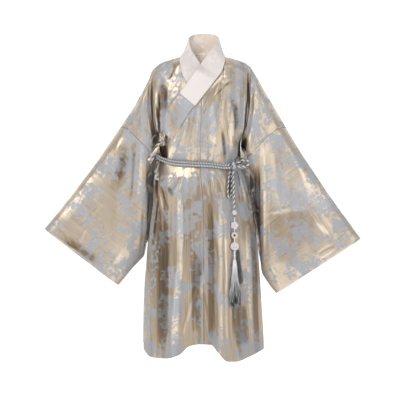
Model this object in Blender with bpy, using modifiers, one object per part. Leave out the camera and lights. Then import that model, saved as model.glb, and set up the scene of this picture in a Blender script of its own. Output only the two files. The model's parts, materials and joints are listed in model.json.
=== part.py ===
"""A wide-sleeved robe with a crossed collar, filled out as when it is worn. Metres, +Z up.

+X is the wearer's left, the front faces -Y, and the origin is the middle of the shoulder line,
where a wearer's neck and shoulders hold the robe. The cloth of the body is one surface, body(),
read at an angle q (0 at the +X side, 90 at the middle, 180 at the -X side) and a height. Each
piece is a stretch of it, moved out by its layer, and what lies on the robe is placed from it.
"""

import bpy
import bmesh
import math
import numpy as np
from mathutils import Matrix, Vector

# Driving dimensions.
WALL = 0.002  # one thickness of the lined satin
SEAM = 0.0003  # clearance between two pieces that are sewn together
OUTER_LAYER = 0.006  # the outer front's face above the under front's
COLLAR_RISE = 0.0033  # a collar's face above the cloth that it is sewn to
COLLAR_TUCK = 0.001  # how far a panel's edge runs in under the collar
FULLNESS = 2.3  # exponent of the body's rounded sections, 2 for an ellipse
SHOULDER_ROUND = 0.055  # radius in which the cloth turns over the shoulder
UNDERARM = -0.355  # height at which the sleeve ends below the arm
ARMHOLE_OPEN = 0.10  # how far the front and back stand apart at the armhole
NECK_POINT = 0.084  # half of the neck opening's width on the shoulder line
CORD = 0.009  # the twisted belt cords
PENDANT_X = 0.122  # the string of ornaments, left of the middle
ARMHOLE_ROWS = 12  # rows of a panel, and points of a sleeve, between shoulder and underarm
SKIRT_ROWS = 11  # rows of a panel below the belt
HANG_CLEAR = 0.0018  # clearance of what hangs in front of the skirt


def table(columns, *rows):
    """A short table: one array for each of the named columns."""
    return dict(zip(columns.split(), np.array(rows, float).T))


# The body's sections: half width, and how far front and back lie from the middle.
BODY = table(
    "z centre half front back",
    (-1.200, 0.002, 0.238, 0.168, 0.160),
    (-1.050, -0.001, 0.234, 0.164, 0.156),
    (-0.900, -0.003, 0.228, 0.158, 0.150),
    (-0.750, -0.003, 0.218, 0.150, 0.140),
    (-0.600, -0.004, 0.200, 0.138, 0.128),
    (-0.492, -0.012, 0.186, 0.124, 0.112),
    (-0.425, -0.014, 0.168, 0.112, 0.100),
    (-0.355, -0.015, 0.163, 0.120, 0.108),
    (-0.270, -0.012, 0.182, 0.128, 0.115),
    (-0.170, -0.011, 0.195, 0.124, 0.113),
    (-0.052, -0.006, 0.194, 0.105, 0.100),
    (0.000, 0.000, 0.195, 0.085, 0.085),
)
# The shoulder line from the middle, where it only carries the surface on, to the sleeve.
SHOULDER = table(
    "x z", (0.0, 0.050), (0.06, 0.012), (0.09, 0.0), (0.13, -0.011), (0.17, -0.026), (0.20, -0.050)
)
# The edges that the collar is sewn to, seen from the front and, for the back, from the middle out.
OUTER_NECK = table(
    "x z",
    (-0.180, -0.374),
    (-0.150, -0.358),
    (-0.129, -0.3457),
    (-0.1173, -0.330),
    (-0.0494, -0.227),
    (-0.0315, -0.207),
    (0.0263, -0.134),
    (0.0588, -0.0913),
    (0.0760, -0.056),
    (0.0830, -0.025),
    (0.0840, -0.004),
)
UNDER_NECK = table(
    "x z",
    (-0.0840, -0.004),
    (-0.0835, -0.030),
    (-0.0810, -0.062),
    (-0.0757, -0.096),
    (-0.030, -0.170),
    (0.020, -0.240),
    (0.080, -0.330),
)
BACK_NECK = table("x z", (0.0, 0.018), (0.04, 0.013), (0.06, 0.007), (0.075, 0.002), (0.084, 0.0))
# The hem's height and the skirt's folds round the body. Angles past 180 are the back.
HEM = table(
    "angle z",
    (0, -1.152),
    (25, -1.158),
    (50, -1.178),
    (66, -1.193),
    (73, -1.192),
    (79, -1.160),
    (84, -1.134),
    (92, -1.132),
    (102, -1.140),
    (112, -1.174),
    (122, -1.184),
    (138, -1.182),
    (155, -1.160),
    (180, -1.140),
    (225, -1.175),
    (270, -1.152),
    (315, -1.178),
)
FOLDS = table(
    "angle out",
    (0, 0.000),
    (25, 0.012),
    (50, 0.018),
    (66, 0.026),
    (74, 0.018),
    (81, -0.022),
    (92, -0.034),
    (104, -0.028),
    (116, 0.002),
    (135, 0.020),
    (155, 0.010),
    (172, -0.004),
    (195, 0.012),
    (222, -0.016),
    (245, 0.020),
    (270, -0.018),
    (295, 0.018),
    (318, -0.014),
    (340, 0.010),
)
FOLDS_FROM, FOLDS_FULL = -0.47, -1.15  # heights between which the skirt's folds open
BELT = table(
    "angle z out",
    (0, -0.4460, 0.001),
    (25, -0.4420, 0.006),
    (55, -0.4406, 0.006),
    (80, -0.4334, 0.006),
    (100, -0.4310, 0.006),
    (120, -0.4268, 0.006),
    (140, -0.4148, 0.0075),
    (160, -0.3990, 0.009),
    (175, -0.392, 0.007),
    (200, -0.396, -0.0008),
    (235, -0.415, -0.0008),
    (270, -0.425, -0.0008),
    (310, -0.435, -0.0008),
    (345, -0.4440, -0.0008),
)
BELT_PINCH, BELT_PINCH_REACH = 0.007, 0.038  # how far the belt draws the cloth in, and over what height
BELT_SINK = 0.0019  # the flats between the panels' rows lie this much inside the true curve
BELT_ROWS = (1.05, 1.10, 1.15)  # rows of a panel that follow the pinch

# The sleeves: where the cuff's top and bottom lie, and how the lines to them sag, w being the
# share of the way from the armhole to the cuff.
CUFF_TOP = {"left": Vector((0.628, 0, -0.724)), "right": Vector((-0.630, 0, -0.686))}
CUFF_FOOT = {"left": Vector((0.290, 0, -0.943)), "right": Vector((-0.336, 0, -0.911))}
CUFF_Y, CUFF_HALF_DEPTH = -0.020, 0.032
TOP_SAG = {
    "left": table("w drop", (0, 0), (0.25, 0.008), (0.5, 0.0155), (0.75, 0.012), (1, 0)),
    "right": table(
        "w drop", (0, 0), (0.1, 0.015), (0.25, 0.023), (0.5, 0.023), (0.75, 0.015), (1, 0)
    ),
}
FOOT_BELLY = {
    "left": table(
        "w reach",
        (0, 0),
        (0.33, -0.012),
        (0.5, 0.0),
        (0.67, 0.018),
        (0.83, 0.036),
        (0.93, 0.020),
        (1, 0),
    ),
    "right": table("w reach", (0, 0), (0.35, 0.032), (0.67, 0.066), (0.9, 0.026), (1, 0)),
}
# How far the sleeve's fold stays outside the body's side, by height.
SLEEVE_CLEAR = table(
    "z gap", (-0.90, 0.010), (-0.55, 0.012), (-0.50, 0.029), (-0.375, 0.029), (-0.35, 0.010), (-0.30, 0.0)
)
# Below the arm the back of the sleeve hangs in behind the body's side: how much of that at w.
UNDER_TURN = table(
    "w share", (0, 0), (0.08, 0.3), (0.2, 1), (0.55, 1), (0.75, 0.6), (0.9, 0.1), (1, 0)
)
UNDER_TURN_IN = {"left": 0.060, "right": 0.040}
UNDER_TURN_BACK = 0.055
UNDER_TURN_AT, UNDER_TURN_REACH = 218.0, 42.0  # degrees round the sleeve
UPPER_SLEEVE_ENDS = 0.354, 0.10  # share of the way at which it ends, on top and at the foot
SLEEVE_SWELL, SLEEVE_SWELL_AT, SLEEVE_SWELL_REACH = 0.022, 0.12, 0.10
SLEEVE_START = 0.0012  # the armhole seam's gap, wider because the sleeve turns off at once
CLEAR_FROM, CLEAR_OVER = -0.28, 0.05  # height from which, and over which, the body pushes it out
CLEAR_SOFTLY = 0.006  # how gently that sets in

# The collar. Each row gives its sewn edge and its free edge; face is -1 on the front, 1 on the back.
COLLAR_ON_OUTER = table(
    "x z free_x free_z",
    (-0.0315, -0.2075, -0.0905, -0.1570),
    (-0.0120, -0.1830, -0.0765, -0.1370),
    (0.0075, -0.1580, -0.0600, -0.1135),
    (0.0263, -0.1340, -0.0440, -0.0895),
    (0.0440, -0.1110, -0.0280, -0.0660),
)
COLLAR_ROUND_NECK = table(
    "face x z free_x free_y free_z",
    (-1, 0.0600, -0.0890, -0.0096, -0.0860, -0.0383),
    (-1, 0.0740, -0.0660, 0.0060, -0.0810, -0.0160),
    (-1, 0.0840, -0.0400, 0.0220, -0.0700, 0.0080),
    (-1, 0.0885, -0.0180, 0.0380, -0.0560, 0.0290),
    (0, 0.0875, 0.0055, 0.0560, -0.0300, 0.0540),
    (1, 0.0840, 0.0000, 0.0640, 0.0000, 0.0720),
    (1, 0.0750, 0.0020, 0.0640, 0.0250, 0.0830),
    (1, 0.0590, 0.0075, 0.0560, 0.0440, 0.0930),
    (1, 0.0380, 0.0135, 0.0370, 0.0600, 0.1010),
    (1, 0.0000, 0.0180, 0.0000, 0.0680, 0.1032),
    (1, -0.0380, 0.0135, -0.0360, 0.0600, 0.0990),
    (1, -0.0590, 0.0075, -0.0500, 0.0440, 0.0905),
    (1, -0.0750, 0.0020, -0.0570, 0.0250, 0.0800),
    (1, -0.0840, 0.0000, -0.0580, 0.0000, 0.0690),
    (0, -0.0885, 0.0065, -0.0530, -0.0280, 0.0440),
    (-1, -0.0920, -0.0260, -0.0440, -0.0520, 0.0200),
    (-1, -0.0875, -0.0520, -0.0290, -0.0690, -0.0060),
    (-1, -0.0815, -0.0770, -0.0090, -0.0800, -0.0380),
)
COLLAR_ON_UNDER = table(
    "x z free_x free_z",
    (-0.0700, -0.1060, -0.0010, -0.0600),
    (-0.0520, -0.1350, 0.0180, -0.0900),
    (-0.0330, -0.1650, 0.0370, -0.1200),
)
COLLAR_BAND = table(
    "x z free_x free_z",
    (-0.0280, -0.2030, -0.0860, -0.1500),
    (-0.0494, -0.2270, -0.1080, -0.1780),
    (-0.0700, -0.2580, -0.1270, -0.2010),
    (-0.0880, -0.2860, -0.1420, -0.2220),
    (-0.1020, -0.3070, -0.1500, -0.2480),
    (-0.1130, -0.3230, -0.1520, -0.2820),
    (-0.1200, -0.3350, -0.1510, -0.3120),
)

KNOT = Vector((0.118, 0, -0.4378))
KNOT_HALF = Vector((0.016, 0.014, 0.018))
TIE_KNOT = Vector((-0.160, 0, -0.336))
TIE_KNOT_HALF = Vector((0.014, 0.009, 0.021))

# Each finish: base colour, roughness, metallic.
COLOURS = {
    "satin": ((0.60, 0.53, 0.42, 1), 0.38, 0.25),
    "white": ((0.84, 0.79, 0.76, 1), 0.75, 0.0),
    "cord": ((0.42, 0.43, 0.44, 1), 0.55, 0.0),
    "jade": ((0.78, 0.74, 0.76, 1), 0.25, 0.0),
    "tassel": ((0.36, 0.37, 0.38, 1), 0.5, 0.0),
}


def curve(keys, values, at):
    """The smooth curve through a table's values that never overshoots them, level past its ends."""
    order = np.argsort(keys)
    keys, values = keys[order], values[order]
    at = np.clip(at, keys[0], keys[-1])
    slope = np.diff(values) / np.diff(keys)
    before, after = slope[:-1], slope[1:]
    even = np.where(before * after > 0, 1, 0)
    middle = even * 2 * before * after / np.where(even, before + after, 1)
    tangent = np.concatenate([slope[:1], middle, slope[-1:]])
    i = np.clip(np.searchsorted(keys, at, side="right") - 1, 0, len(keys) - 2)
    step = keys[i + 1] - keys[i]
    t = (at - keys[i]) / step
    rise = values[i] + (values[i + 1] - values[i]) * t * t * (3 - 2 * t)
    return rise + step * t * (1 - t) * ((1 - t) * tangent[i] - t * tangent[i + 1])


def round_curve(keys, values, angle):
    """The same for a table that goes once round, in degrees."""
    keys = np.concatenate([keys - 360, keys, keys + 360])
    return curve(keys, np.tile(values, 3), np.mod(angle, 360))


def ease(t):
    t = np.clip(t, 0, 1)
    return t * t * (3 - 2 * t)


def body(q, z, face, out=0.0, turn=None):
    """A point of the body's cloth at angle q and height z; turn, from 0 to 1, is how far it has
    come round the shoulder, and is worked out from z where it isn't given."""
    q, z = np.broadcast_arrays(np.asarray(q, float), np.asarray(z, float))
    centre, half = curve(BODY["z"], BODY["centre"], z), curve(BODY["z"], BODY["half"], z)
    depth = curve(BODY["z"], BODY["front" if face < 0 else "back"], z)
    cosine, sine = np.cos(np.radians(q)), np.sin(np.radians(q))
    across = np.sign(cosine) * np.abs(cosine) ** (2 / FULLNESS)
    close = 1 - ARMHOLE_OPEN * ease((z - UNDERARM) / 0.06)
    x = centre + across * half
    if turn is None:
        drop = np.clip((shoulder_line(x) - z) / SHOULDER_ROUND, 0, 1)
        turn = np.sqrt(1 - (1 - drop) ** 2)
    y = depth * turn * np.maximum(1 - (np.abs(across) * close) ** FULLNESS, 0) ** (1 / FULLNESS)
    angle = q if face < 0 else 360 - q
    opened = ease((z - FOLDS_FROM) / (FOLDS_FULL - FOLDS_FROM))
    fold = round_curve(FOLDS["angle"], FOLDS["out"], angle) * opened
    pinch = BELT_PINCH * np.exp(-(((z - belt_height(angle)) / BELT_PINCH_REACH) ** 2))
    out = out + fold - pinch
    y = face * (y + out * np.abs(sine) * turn + SEAM / 2)
    return np.stack([x + out * cosine * (turn if face < 0 else 1), y, z], axis=-1)


def belt_height(angle):
    return round_curve(BELT["angle"], BELT["z"], angle)


def neck_line(edge, tuck=COLLAR_TUCK):
    """A neck edge as a function of x, moved towards the neck by what lies under the collar."""
    x, z = edge["x"], edge["z"]
    slope = np.gradient(z, x)
    size = np.hypot(1, slope)
    moved_x, moved_z = x - tuck * slope / size, z + tuck / size
    return lambda at: curve(moved_x, moved_z, at)


def even_curve(keys, values, at):
    """The same for a table from the middle out that both sides share, level across the middle."""
    return curve(np.concatenate([-keys[:0:-1], keys]), np.concatenate([values[:0:-1], values]), at)


def shoulder_line(x):
    return even_curve(SHOULDER["x"], SHOULDER["z"], x)


def outer_top(x):
    return np.where(x > NECK_POINT, 1, neck_line(OUTER_NECK)(x))


def under_top(x):
    return np.where(x < -NECK_POINT, 1, neck_line(UNDER_NECK)(x))


def back_top(x):
    edge = even_curve(BACK_NECK["x"], BACK_NECK["z"], x) + COLLAR_TUCK
    return np.where(np.abs(x) > NECK_POINT, 1, edge)


def panel_point(q, s, face, top, layer):
    """A point of a panel: s runs from 0 at its top edge over 1 at the underarm to 2 at the hem."""
    low, high = np.full(np.shape(q), UNDERARM - 0.1), np.full(np.shape(q), 0.06)
    for _ in range(40):
        middle = (low + high) / 2
        x = body(q, middle, face)[..., 0]
        above = middle > np.minimum(shoulder_line(x), top(x))
        low, high = np.where(above, low, middle), np.where(above, middle, high)
    start = (low + high) / 2
    ridge = shoulder_line(body(q, start, face)[..., 0])
    turned = np.arccos(1 - np.clip((ridge - start) / SHOULDER_ROUND, 0, 1))
    arc = SHOULDER_ROUND * (math.pi / 2 - turned)
    straight = np.minimum(start, ridge - SHOULDER_ROUND) - UNDERARM
    along = s * (arc + straight)
    angle = turned + along / SHOULDER_ROUND
    on_arc = (along < arc) & (arc > 0)
    z = np.where(on_arc, ridge - SHOULDER_ROUND * (1 - np.cos(angle)), UNDERARM + straight + arc - along)
    hem = round_curve(HEM["angle"], HEM["z"], q if face < 0 else 360 - q)
    z = np.where(s > 1, UNDERARM + (hem - UNDERARM) * (s - 1), z)
    turn = np.where(on_arc, np.sin(angle), 1)
    return body(q, z, face, layer(q), turn)


def outer_layer(q):
    return OUTER_LAYER * ease(q / 25)


def no_layer(q):
    return 0 * q


PIECES = bpy.data.collections.new("robe")
GUIDES = bpy.data.collections.new("robe_guides")


def clear_scene():
    for obj in list(bpy.data.objects):
        bpy.data.objects.remove(obj, do_unlink=True)
    bpy.context.scene.collection.children.link(PIECES)
    bpy.context.scene.collection.children.link(GUIDES)


def material(name):
    found = bpy.data.materials.get(name)
    if found:
        return found
    made = bpy.data.materials.new(name)
    made.use_nodes = True
    shader = made.node_tree.nodes["Principled BSDF"]
    colour, roughness, metallic = COLOURS[name]
    shader.inputs["Base Color"].default_value = colour
    shader.inputs["Roughness"].default_value = roughness
    shader.inputs["Metallic"].default_value = metallic
    return made


def place(name, data, finish):
    obj = bpy.data.objects.new(name, data)
    data.materials.append(material(finish))
    PIECES.objects.link(obj)
    return obj


def place_bmesh(name, shape, finish):
    bmesh.ops.recalc_face_normals(shape, faces=shape.faces)
    data = bpy.data.meshes.new(name)
    shape.to_mesh(data)
    shape.free()
    data.shade_smooth()
    data.set_sharp_from_angle(angle=math.radians(50))
    return place(name, data, finish)


def cloth(name, surface, us, vs, finish, inside, closed=False, wall=WALL):
    """A wall between surface(u, v) and the same surface moved in along its own normals. Both
    sides are worked out here, because then two pieces that meet share their wall's direction
    and stay SEAM apart right through it. inside is a point, or one for each u, behind the wall."""
    u, v = np.meshgrid(us, vs, indexing="ij")
    step_u, step_v = 1e-4 * np.ptp(us), 1e-4 * np.ptp(vs)
    low_u, high_u = u - step_u, u + step_u
    if not closed:
        low_u, high_u = np.maximum(low_u, us.min()), np.minimum(high_u, us.max())
    low_v, high_v = np.maximum(v - step_v, vs.min()), np.minimum(v + step_v, vs.max())
    outer = surface(u, v)
    along_u, along_v = surface(high_u, v) - surface(low_u, v), surface(u, high_v) - surface(u, low_v)
    normal = np.cross(along_u, along_v)
    normal /= np.maximum(np.linalg.norm(normal, axis=-1, keepdims=True), 1e-12)
    away = outer - np.asarray(inside(outer) if callable(inside) else inside)
    normal *= np.sign(np.sum(normal * away))
    points = np.concatenate([outer.reshape(-1, 3), (outer - wall * normal).reshape(-1, 3)])
    rows, columns = u.shape
    index = np.arange(2 * rows * columns).reshape(2, rows, columns)
    if closed:
        index = np.concatenate([index, index[:, :1]], axis=1)
    faces = []
    for side, grid in enumerate(index):
        quads = np.stack([grid[:-1, :-1], grid[1:, :-1], grid[1:, 1:], grid[:-1, 1:]], axis=-1)
        faces.append(quads.reshape(-1, 4)[:, :: -1 if side else 1])
    rims = [index[:, :, 0], index[:, ::-1, -1]]
    if not closed:
        rims += [index[:, 0, ::-1], index[:, -1, :]]
    for rim in rims:
        faces.append(np.stack([rim[0, :-1], rim[1, :-1], rim[1, 1:], rim[0, 1:]], axis=-1))
    shape = bmesh.new()
    corners = [shape.verts.new(point) for point in points]
    for face in np.concatenate(faces):
        shape.faces.new([corners[i] for i in face])
    return place_bmesh(name, shape, finish)


def axis_of(points):
    """The middle of the body at each point's height."""
    return points * (0, 0, 1)


def share_rows():
    """Rows from a panel's top to the underarm, closer at both ends, as round the sleeve."""
    return (1 - np.cos(np.linspace(0, math.pi, ARMHOLE_ROWS + 1))) / 2


def angle_at(x, z=0.0):
    centre, half = curve(BODY["z"], BODY["centre"], z), curve(BODY["z"], BODY["half"], z)
    across = (x - centre) / half
    return math.degrees(math.acos(math.copysign(abs(across) ** (FULLNESS / 2), across)))


def panel(name, columns, face, top, layer=no_layer):
    skirt = np.linspace(BELT_ROWS[-1], 2, SKIRT_ROWS + 1)[1:]
    rows = np.concatenate([share_rows(), BELT_ROWS, skirt])

    def surface(q, s):
        return panel_point(q, s, face, top, layer)

    return cloth(name, surface, np.asarray(columns), rows, "satin", axis_of)


def panels():
    neck_left = angle_at(NECK_POINT)
    neck_right = 180 - neck_left
    seam = angle_at(0.004)
    half_gap = 0.05
    shoulder = np.linspace(0, neck_left - 1.0, 7)
    chest = np.linspace(neck_left + 1.0, seam - half_gap, 9)
    panel("front_left", np.concatenate([shoulder, chest]), -1, outer_top, outer_layer)
    panel("front_left_overlap", np.linspace(seam + half_gap, 160, 13), -1, outer_top, outer_layer)
    lapped, side = np.linspace(84, neck_right - 1.0, 7), np.linspace(neck_right + 1.0, 180, 7)
    under = np.concatenate([lapped, side])
    panel("front_right", under, -1, under_top)
    middle = 90 - half_gap
    back = np.concatenate([shoulder, np.linspace(neck_left + 1.0, middle, 5)])
    panel("back_left", back, 1, back_top)
    panel("back_right", 180 - back[::-1], 1, back_top)


def sleeve_point(side, w, v_angle):
    """A point of the sleeve: w from 0 at the armhole to 1 at the cuff; v_angle goes round it,
    0 on the top line, 180 at the foot, the front before 180 and the back after it."""
    v_angle = np.mod(v_angle, 360)
    v = (1 - np.cos(np.radians(v_angle))) / 2
    face = np.where(v_angle <= 180, -1.0, 1.0)
    q = np.zeros_like(v) if side == "left" else np.full_like(v, 180.0)
    front = panel_point(q, v, -1, outer_top if side == "left" else under_top, no_layer)
    back = panel_point(q, v, 1, back_top, no_layer)
    start = np.where((face < 0)[..., None], front, back)
    outward = 1.0 if side == "left" else -1.0
    start = start + np.array([outward * SLEEVE_START, 0, 0])
    top, foot = np.array(CUFF_TOP[side]), np.array(CUFF_FOOT[side])
    over_top = np.sqrt(1 - (1 - np.clip(v / 0.12, 0, 1)) ** 2)
    over_foot = np.sqrt(1 - (1 - np.clip((1 - v) / 0.25, 0, 1)) ** 2)
    round_off = over_top * over_foot
    end = top + (foot - top) * v[..., None]
    end[..., 1] = CUFF_Y + face * CUFF_HALF_DEPTH * round_off
    point = start + (end - start) * w[..., None]
    swell = SLEEVE_SWELL * np.exp(-(((w - SLEEVE_SWELL_AT) / SLEEVE_SWELL_REACH) ** 2))
    point[..., 1] += face * swell * ease(w / 0.06) * round_off
    sag = curve(TOP_SAG[side]["w"], TOP_SAG[side]["drop"], w) * (1 - v) ** 1.5
    line = Vector((outward * 0.375, 0, -0.64)).normalized()
    point += sag[..., None] * np.array([outward * line.z, 0, -abs(line.x)])
    belly = curve(FOOT_BELLY[side]["w"], FOOT_BELLY[side]["reach"], w) * v**2.5
    point[..., 0] -= outward * belly
    turned = np.exp(-(((v_angle - UNDER_TURN_AT) / UNDER_TURN_REACH) ** 2))
    turned = turned * curve(UNDER_TURN["w"], UNDER_TURN["share"], w)
    point[..., 0] -= outward * UNDER_TURN_IN[side] * turned
    point[..., 1] += UNDER_TURN_BACK * turned
    return clear_of_body(point, outward, ease(w / 0.1))


def clear_of_body(point, outward, share):
    """Moves a sleeve's points sideways until they lie outside the body's section and the belt."""
    z = point[..., 2]
    gap = curve(SLEEVE_CLEAR["z"], SLEEVE_CLEAR["gap"], z) * share
    across = curve(BODY["z"], BODY["half"], z) + gap
    front, back = curve(BODY["z"], BODY["front"], z), curve(BODY["z"], BODY["back"], z)
    depth = np.where(point[..., 1] < 0, front, back)
    deep = np.minimum(np.abs(point[..., 1]) / (depth + gap), 1) ** FULLNESS
    least = outward * curve(BODY["z"], BODY["centre"], z) + across * (1 - deep) ** (1 / FULLNESS)
    reach = outward * point[..., 0]
    held = (reach + least + np.sqrt((reach - least) ** 2 + CLEAR_SOFTLY**2)) / 2
    held = reach + (held - reach) * ease((CLEAR_FROM - z) / CLEAR_OVER)
    return np.stack([outward * held, point[..., 1], z], axis=-1)


def sleeves():
    around = np.arange(0, 360, 180 / ARMHOLE_ROWS)
    upper_rows, lower_rows = np.array([0, 0.1, 0.25, 0.45, 0.7, 1.0]), np.linspace(0, 1, 11)
    top_end, foot_end = UPPER_SLEEVE_ENDS
    for side in ("left", "right"):

        def share(angle, side=side):
            v = (1 - np.cos(np.radians(angle))) / 2
            return top_end + (foot_end - top_end) * v

        def upper(angle, t, side=side):
            return sleeve_point(side, t * (share(angle) - 2 * SEAM), angle)

        def lower(angle, t, side=side):
            start = share(angle) + 2 * SEAM
            return sleeve_point(side, start + t * (1 - start), angle)

        def middle(points):
            return points.mean(axis=0, keepdims=True)

        cloth(f"upper_sleeve_{side}", upper, around, upper_rows, "satin", middle, closed=True)
        cloth(f"sleeve_{side}", lower, around, lower_rows, "satin", middle, closed=True)


def cloth_at(x, z, face, out):
    """The point of the body's cloth at x and z, moved out. Where the cloth turns over the
    shoulder, part of that goes upwards."""
    q = np.linspace(0.5, 179.5, 719)
    shape = body(q, z, face, out)
    upward = 1 - min(max((shoulder_line(x) - z) / SHOULDER_ROUND, 0), 1)
    return np.array([x, np.interp(-x, -shape[:, 0], shape[:, 1]), z + out * upward])


def rows_on_cloth(rows, out):
    """A collar's two edges where both lie on the chest."""
    sewn = [cloth_at(x, z, -1, out) for x, z in zip(rows["x"], rows["z"])]
    free = [cloth_at(x, z, -1, out) for x, z in zip(rows["free_x"], rows["free_z"])]
    return np.array(sewn), np.array(free)


def rows_round_neck(rows, outer_out):
    sewn = []
    for face, x, z in zip(rows["face"], rows["x"], rows["z"]):
        out = outer_out if face < 0 and x > 0 else 2 * COLLAR_RISE
        sewn.append([x, 0, z] if face == 0 else cloth_at(x, z, face, out))
    return np.array(sewn), np.stack([rows["free_x"], rows["free_y"], rows["free_z"]], axis=-1)


def band(name, sewn, free, finish, steps, across=4):
    """A collar strip between its two edges."""
    stations = np.arange(len(sewn), dtype=float)

    def surface(t, v):
        edges = []
        for edge in (sewn, free):
            edges.append(np.stack([curve(stations, edge[:, axis], t) for axis in range(3)], axis=-1))
        low, high = edges
        return low + (high - low) * v[..., None]

    ts = np.linspace(0, len(sewn) - 1, steps)
    return cloth(name, surface, ts, np.linspace(0, 1, across), finish, axis_of)


def collar():
    outer_out = OUTER_LAYER + 2 * COLLAR_RISE
    outer = rows_on_cloth(COLLAR_ON_OUTER, outer_out)
    neck = rows_round_neck(COLLAR_ROUND_NECK, outer_out)
    under = rows_on_cloth(COLLAR_ON_UNDER, COLLAR_RISE)
    sewn = np.concatenate([outer[0], neck[0], under[0]])
    free = np.concatenate([outer[1], neck[1], under[1]])
    band("collar_white", sewn, free, "white", 41)
    sewn, free = rows_on_cloth(COLLAR_BAND, OUTER_LAYER + COLLAR_RISE)
    band("collar_band", sewn, free, "satin", 2 * len(sewn) - 1)


def tube(name, points, width, finish):
    """A cord along the smooth curve through the points, about two widths from point to point."""
    points = np.array(points, float)
    lengths = np.concatenate([[0], np.cumsum(np.linalg.norm(np.diff(points, axis=0), axis=1))])
    count = int(np.clip(lengths[-1] / (2.9 * width), 5, 70))
    at = np.linspace(0, lengths[-1], count + 1)
    smooth = np.stack([curve(lengths, points[:, axis], at) for axis in range(3)], axis=-1)
    data = bpy.data.curves.new(name, "CURVE")
    data.dimensions = "3D"
    data.bevel_depth = width / 2
    data.bevel_resolution = 2
    data.use_fill_caps = True
    line = data.splines.new("POLY")
    line.points.add(count)
    line.points.foreach_set("co", np.column_stack([smooth, np.ones(len(smooth))]).ravel())
    return place(name, data, finish)


def on_ball(centre, half, direction, gap=0.0005):
    """The point just outside a ball with three different half sizes, in a direction."""
    direction = Vector(direction)
    scale = math.sqrt(sum((d / h) ** 2 for d, h in zip(direction, half)))
    return np.array(centre + direction / scale + direction.normalized() * gap)


def ball(name, centre, half, finish, sides=16, rings=10):
    shape = bmesh.new()
    bmesh.ops.create_uvsphere(shape, u_segments=sides, v_segments=rings, radius=1)
    placed = Matrix.Translation(centre) @ Matrix.Diagonal((*half, 1))
    bmesh.ops.transform(shape, matrix=placed, verts=shape.verts)
    return place_bmesh(name, shape, finish)


def belt():
    """Two twisted cords round the waist, one above the other, knotted at the wearer's left."""
    gap = CORD / 2 - BELT_SINK
    KNOT.y = hang(KNOT.x, KNOT.z, 2 * KNOT_HALF.y) - BELT_PINCH
    rounds = np.concatenate([[60], np.arange(65, 351, 10), np.arange(356, 381, 6)])
    for name, lift in (("belt_cord_upper", 1), ("belt_cord_lower", -1)):
        shift = lift * (CORD / 2 + 2 * SEAM)
        start = on_ball(KNOT, KNOT_HALF, (-1, 0.1, 0.3 * lift), 0.0024)
        start[2] = KNOT.z + shift
        route = [start, start - np.array([0.010, 0, 0])]
        for angle in rounds:
            face = -1 if angle <= 180 or angle > 360 else 1
            q = angle if angle <= 180 else 360 - angle
            q = angle - 360 if angle > 360 else q
            out = round_curve(BELT["angle"], BELT["out"], angle) + gap
            point = body(q, belt_height(angle), face, out + BELT_PINCH)
            route.append(point + np.array([0, 0, shift]))
        end = on_ball(KNOT, KNOT_HALF, (1, 0.5, 0.3 * lift), 0.0018)
        end[2] = KNOT.z + shift
        route += [end + np.array([0.0075, 0.018, 0]), end + np.array([0.0050, 0.0065, 0]), end]
        tube(name, route, CORD, "cord")
    ball("belt_knot", KNOT, KNOT_HALF, "cord")
    x, y, z = KNOT
    bow = [
        on_ball(KNOT, KNOT_HALF, (0.9, -0.8, 0.7), 0.0016),
        (x + 0.0250, y - 0.0175, z + 0.0150),
        (x + 0.0385, y - 0.0190, z + 0.0208),
        (x + 0.0520, y - 0.0180, z + 0.0195),
        (x + 0.0600, y - 0.0160, z + 0.0115),
        (x + 0.0565, y - 0.0160, z + 0.0010),
        (x + 0.0430, y - 0.0175, z - 0.0048),
        (x + 0.0280, y - 0.0185, z - 0.0045),
        on_ball(KNOT, KNOT_HALF, (0.9, -0.9, -0.25), 0.0016),
    ]
    tube("belt_bow", bow, 0.008, "cord")


def hang(x, z, thick):
    """A place in front of the skirt, clear of it by half a thickness."""
    nearest = min(cloth_at(x + side, z, -1, OUTER_LAYER)[1] for side in (-0.014, 0, 0.014))
    return nearest - thick / 2 - HANG_CLEAR


def disc(name, z, radius, thick, finish):
    """An ornament of the pendant string: an upright disc with softened edges."""
    centre = (PENDANT_X, hang(PENDANT_X, z, thick), z)
    bpy.ops.mesh.primitive_cylinder_add(
        vertices=20, radius=radius, depth=thick, rotation=(math.pi / 2, 0, 0), location=centre
    )
    obj = bpy.context.object
    obj.name = obj.data.name = name
    obj.data.materials.append(material(finish))
    edge = obj.modifiers.new("Softened edge", "BEVEL")
    edge.width = thick * 0.3
    edge.segments = 1
    for owner in list(obj.users_collection):
        owner.objects.unlink(obj)
    PIECES.objects.link(obj)
    obj.data.shade_smooth()
    obj.data.set_sharp_from_angle(angle=math.radians(40))


PENDANT = (
    # name, height of its middle, half height, thickness, finish
    ("pendant_knot", -0.620, 0.0095, 0.012, "cord"),
    ("jade_flower", -0.670, 0.0148, 0.007, "jade"),
    ("jade_ring", -0.7085, 0.0125, 0.007, "jade"),
    ("jade_disc", -0.7505, 0.0168, 0.007, "jade"),
)
# The string's way down, in front of the belt's end loop at first: x, height, how far ahead.
STRING_ROUTE = (
    (0.1178, -0.4700, 0.0085),
    (0.1174, -0.4900, 0.0075),
    (0.1188, -0.5150, 0.0035),
    (0.1198, -0.5450, 0.0005),
    (0.1202, -0.5800, 0.0000),
)
LOOP_ROUTE = (
    (0.1035, -0.4700),
    (0.0995, -0.4960),
    (0.0970, -0.5240),
    (0.0962, -0.5450),
    (0.0982, -0.5580),
    (0.1035, -0.5628),
    (0.1088, -0.5570),
    (0.1106, -0.5430),
    (0.1108, -0.5200),
    (0.1106, -0.4960),
    (0.1118, -0.4760),
)
TAIL_Z = -0.7995  # foot of the cord under the lowest disc, where the tassel begins
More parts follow.
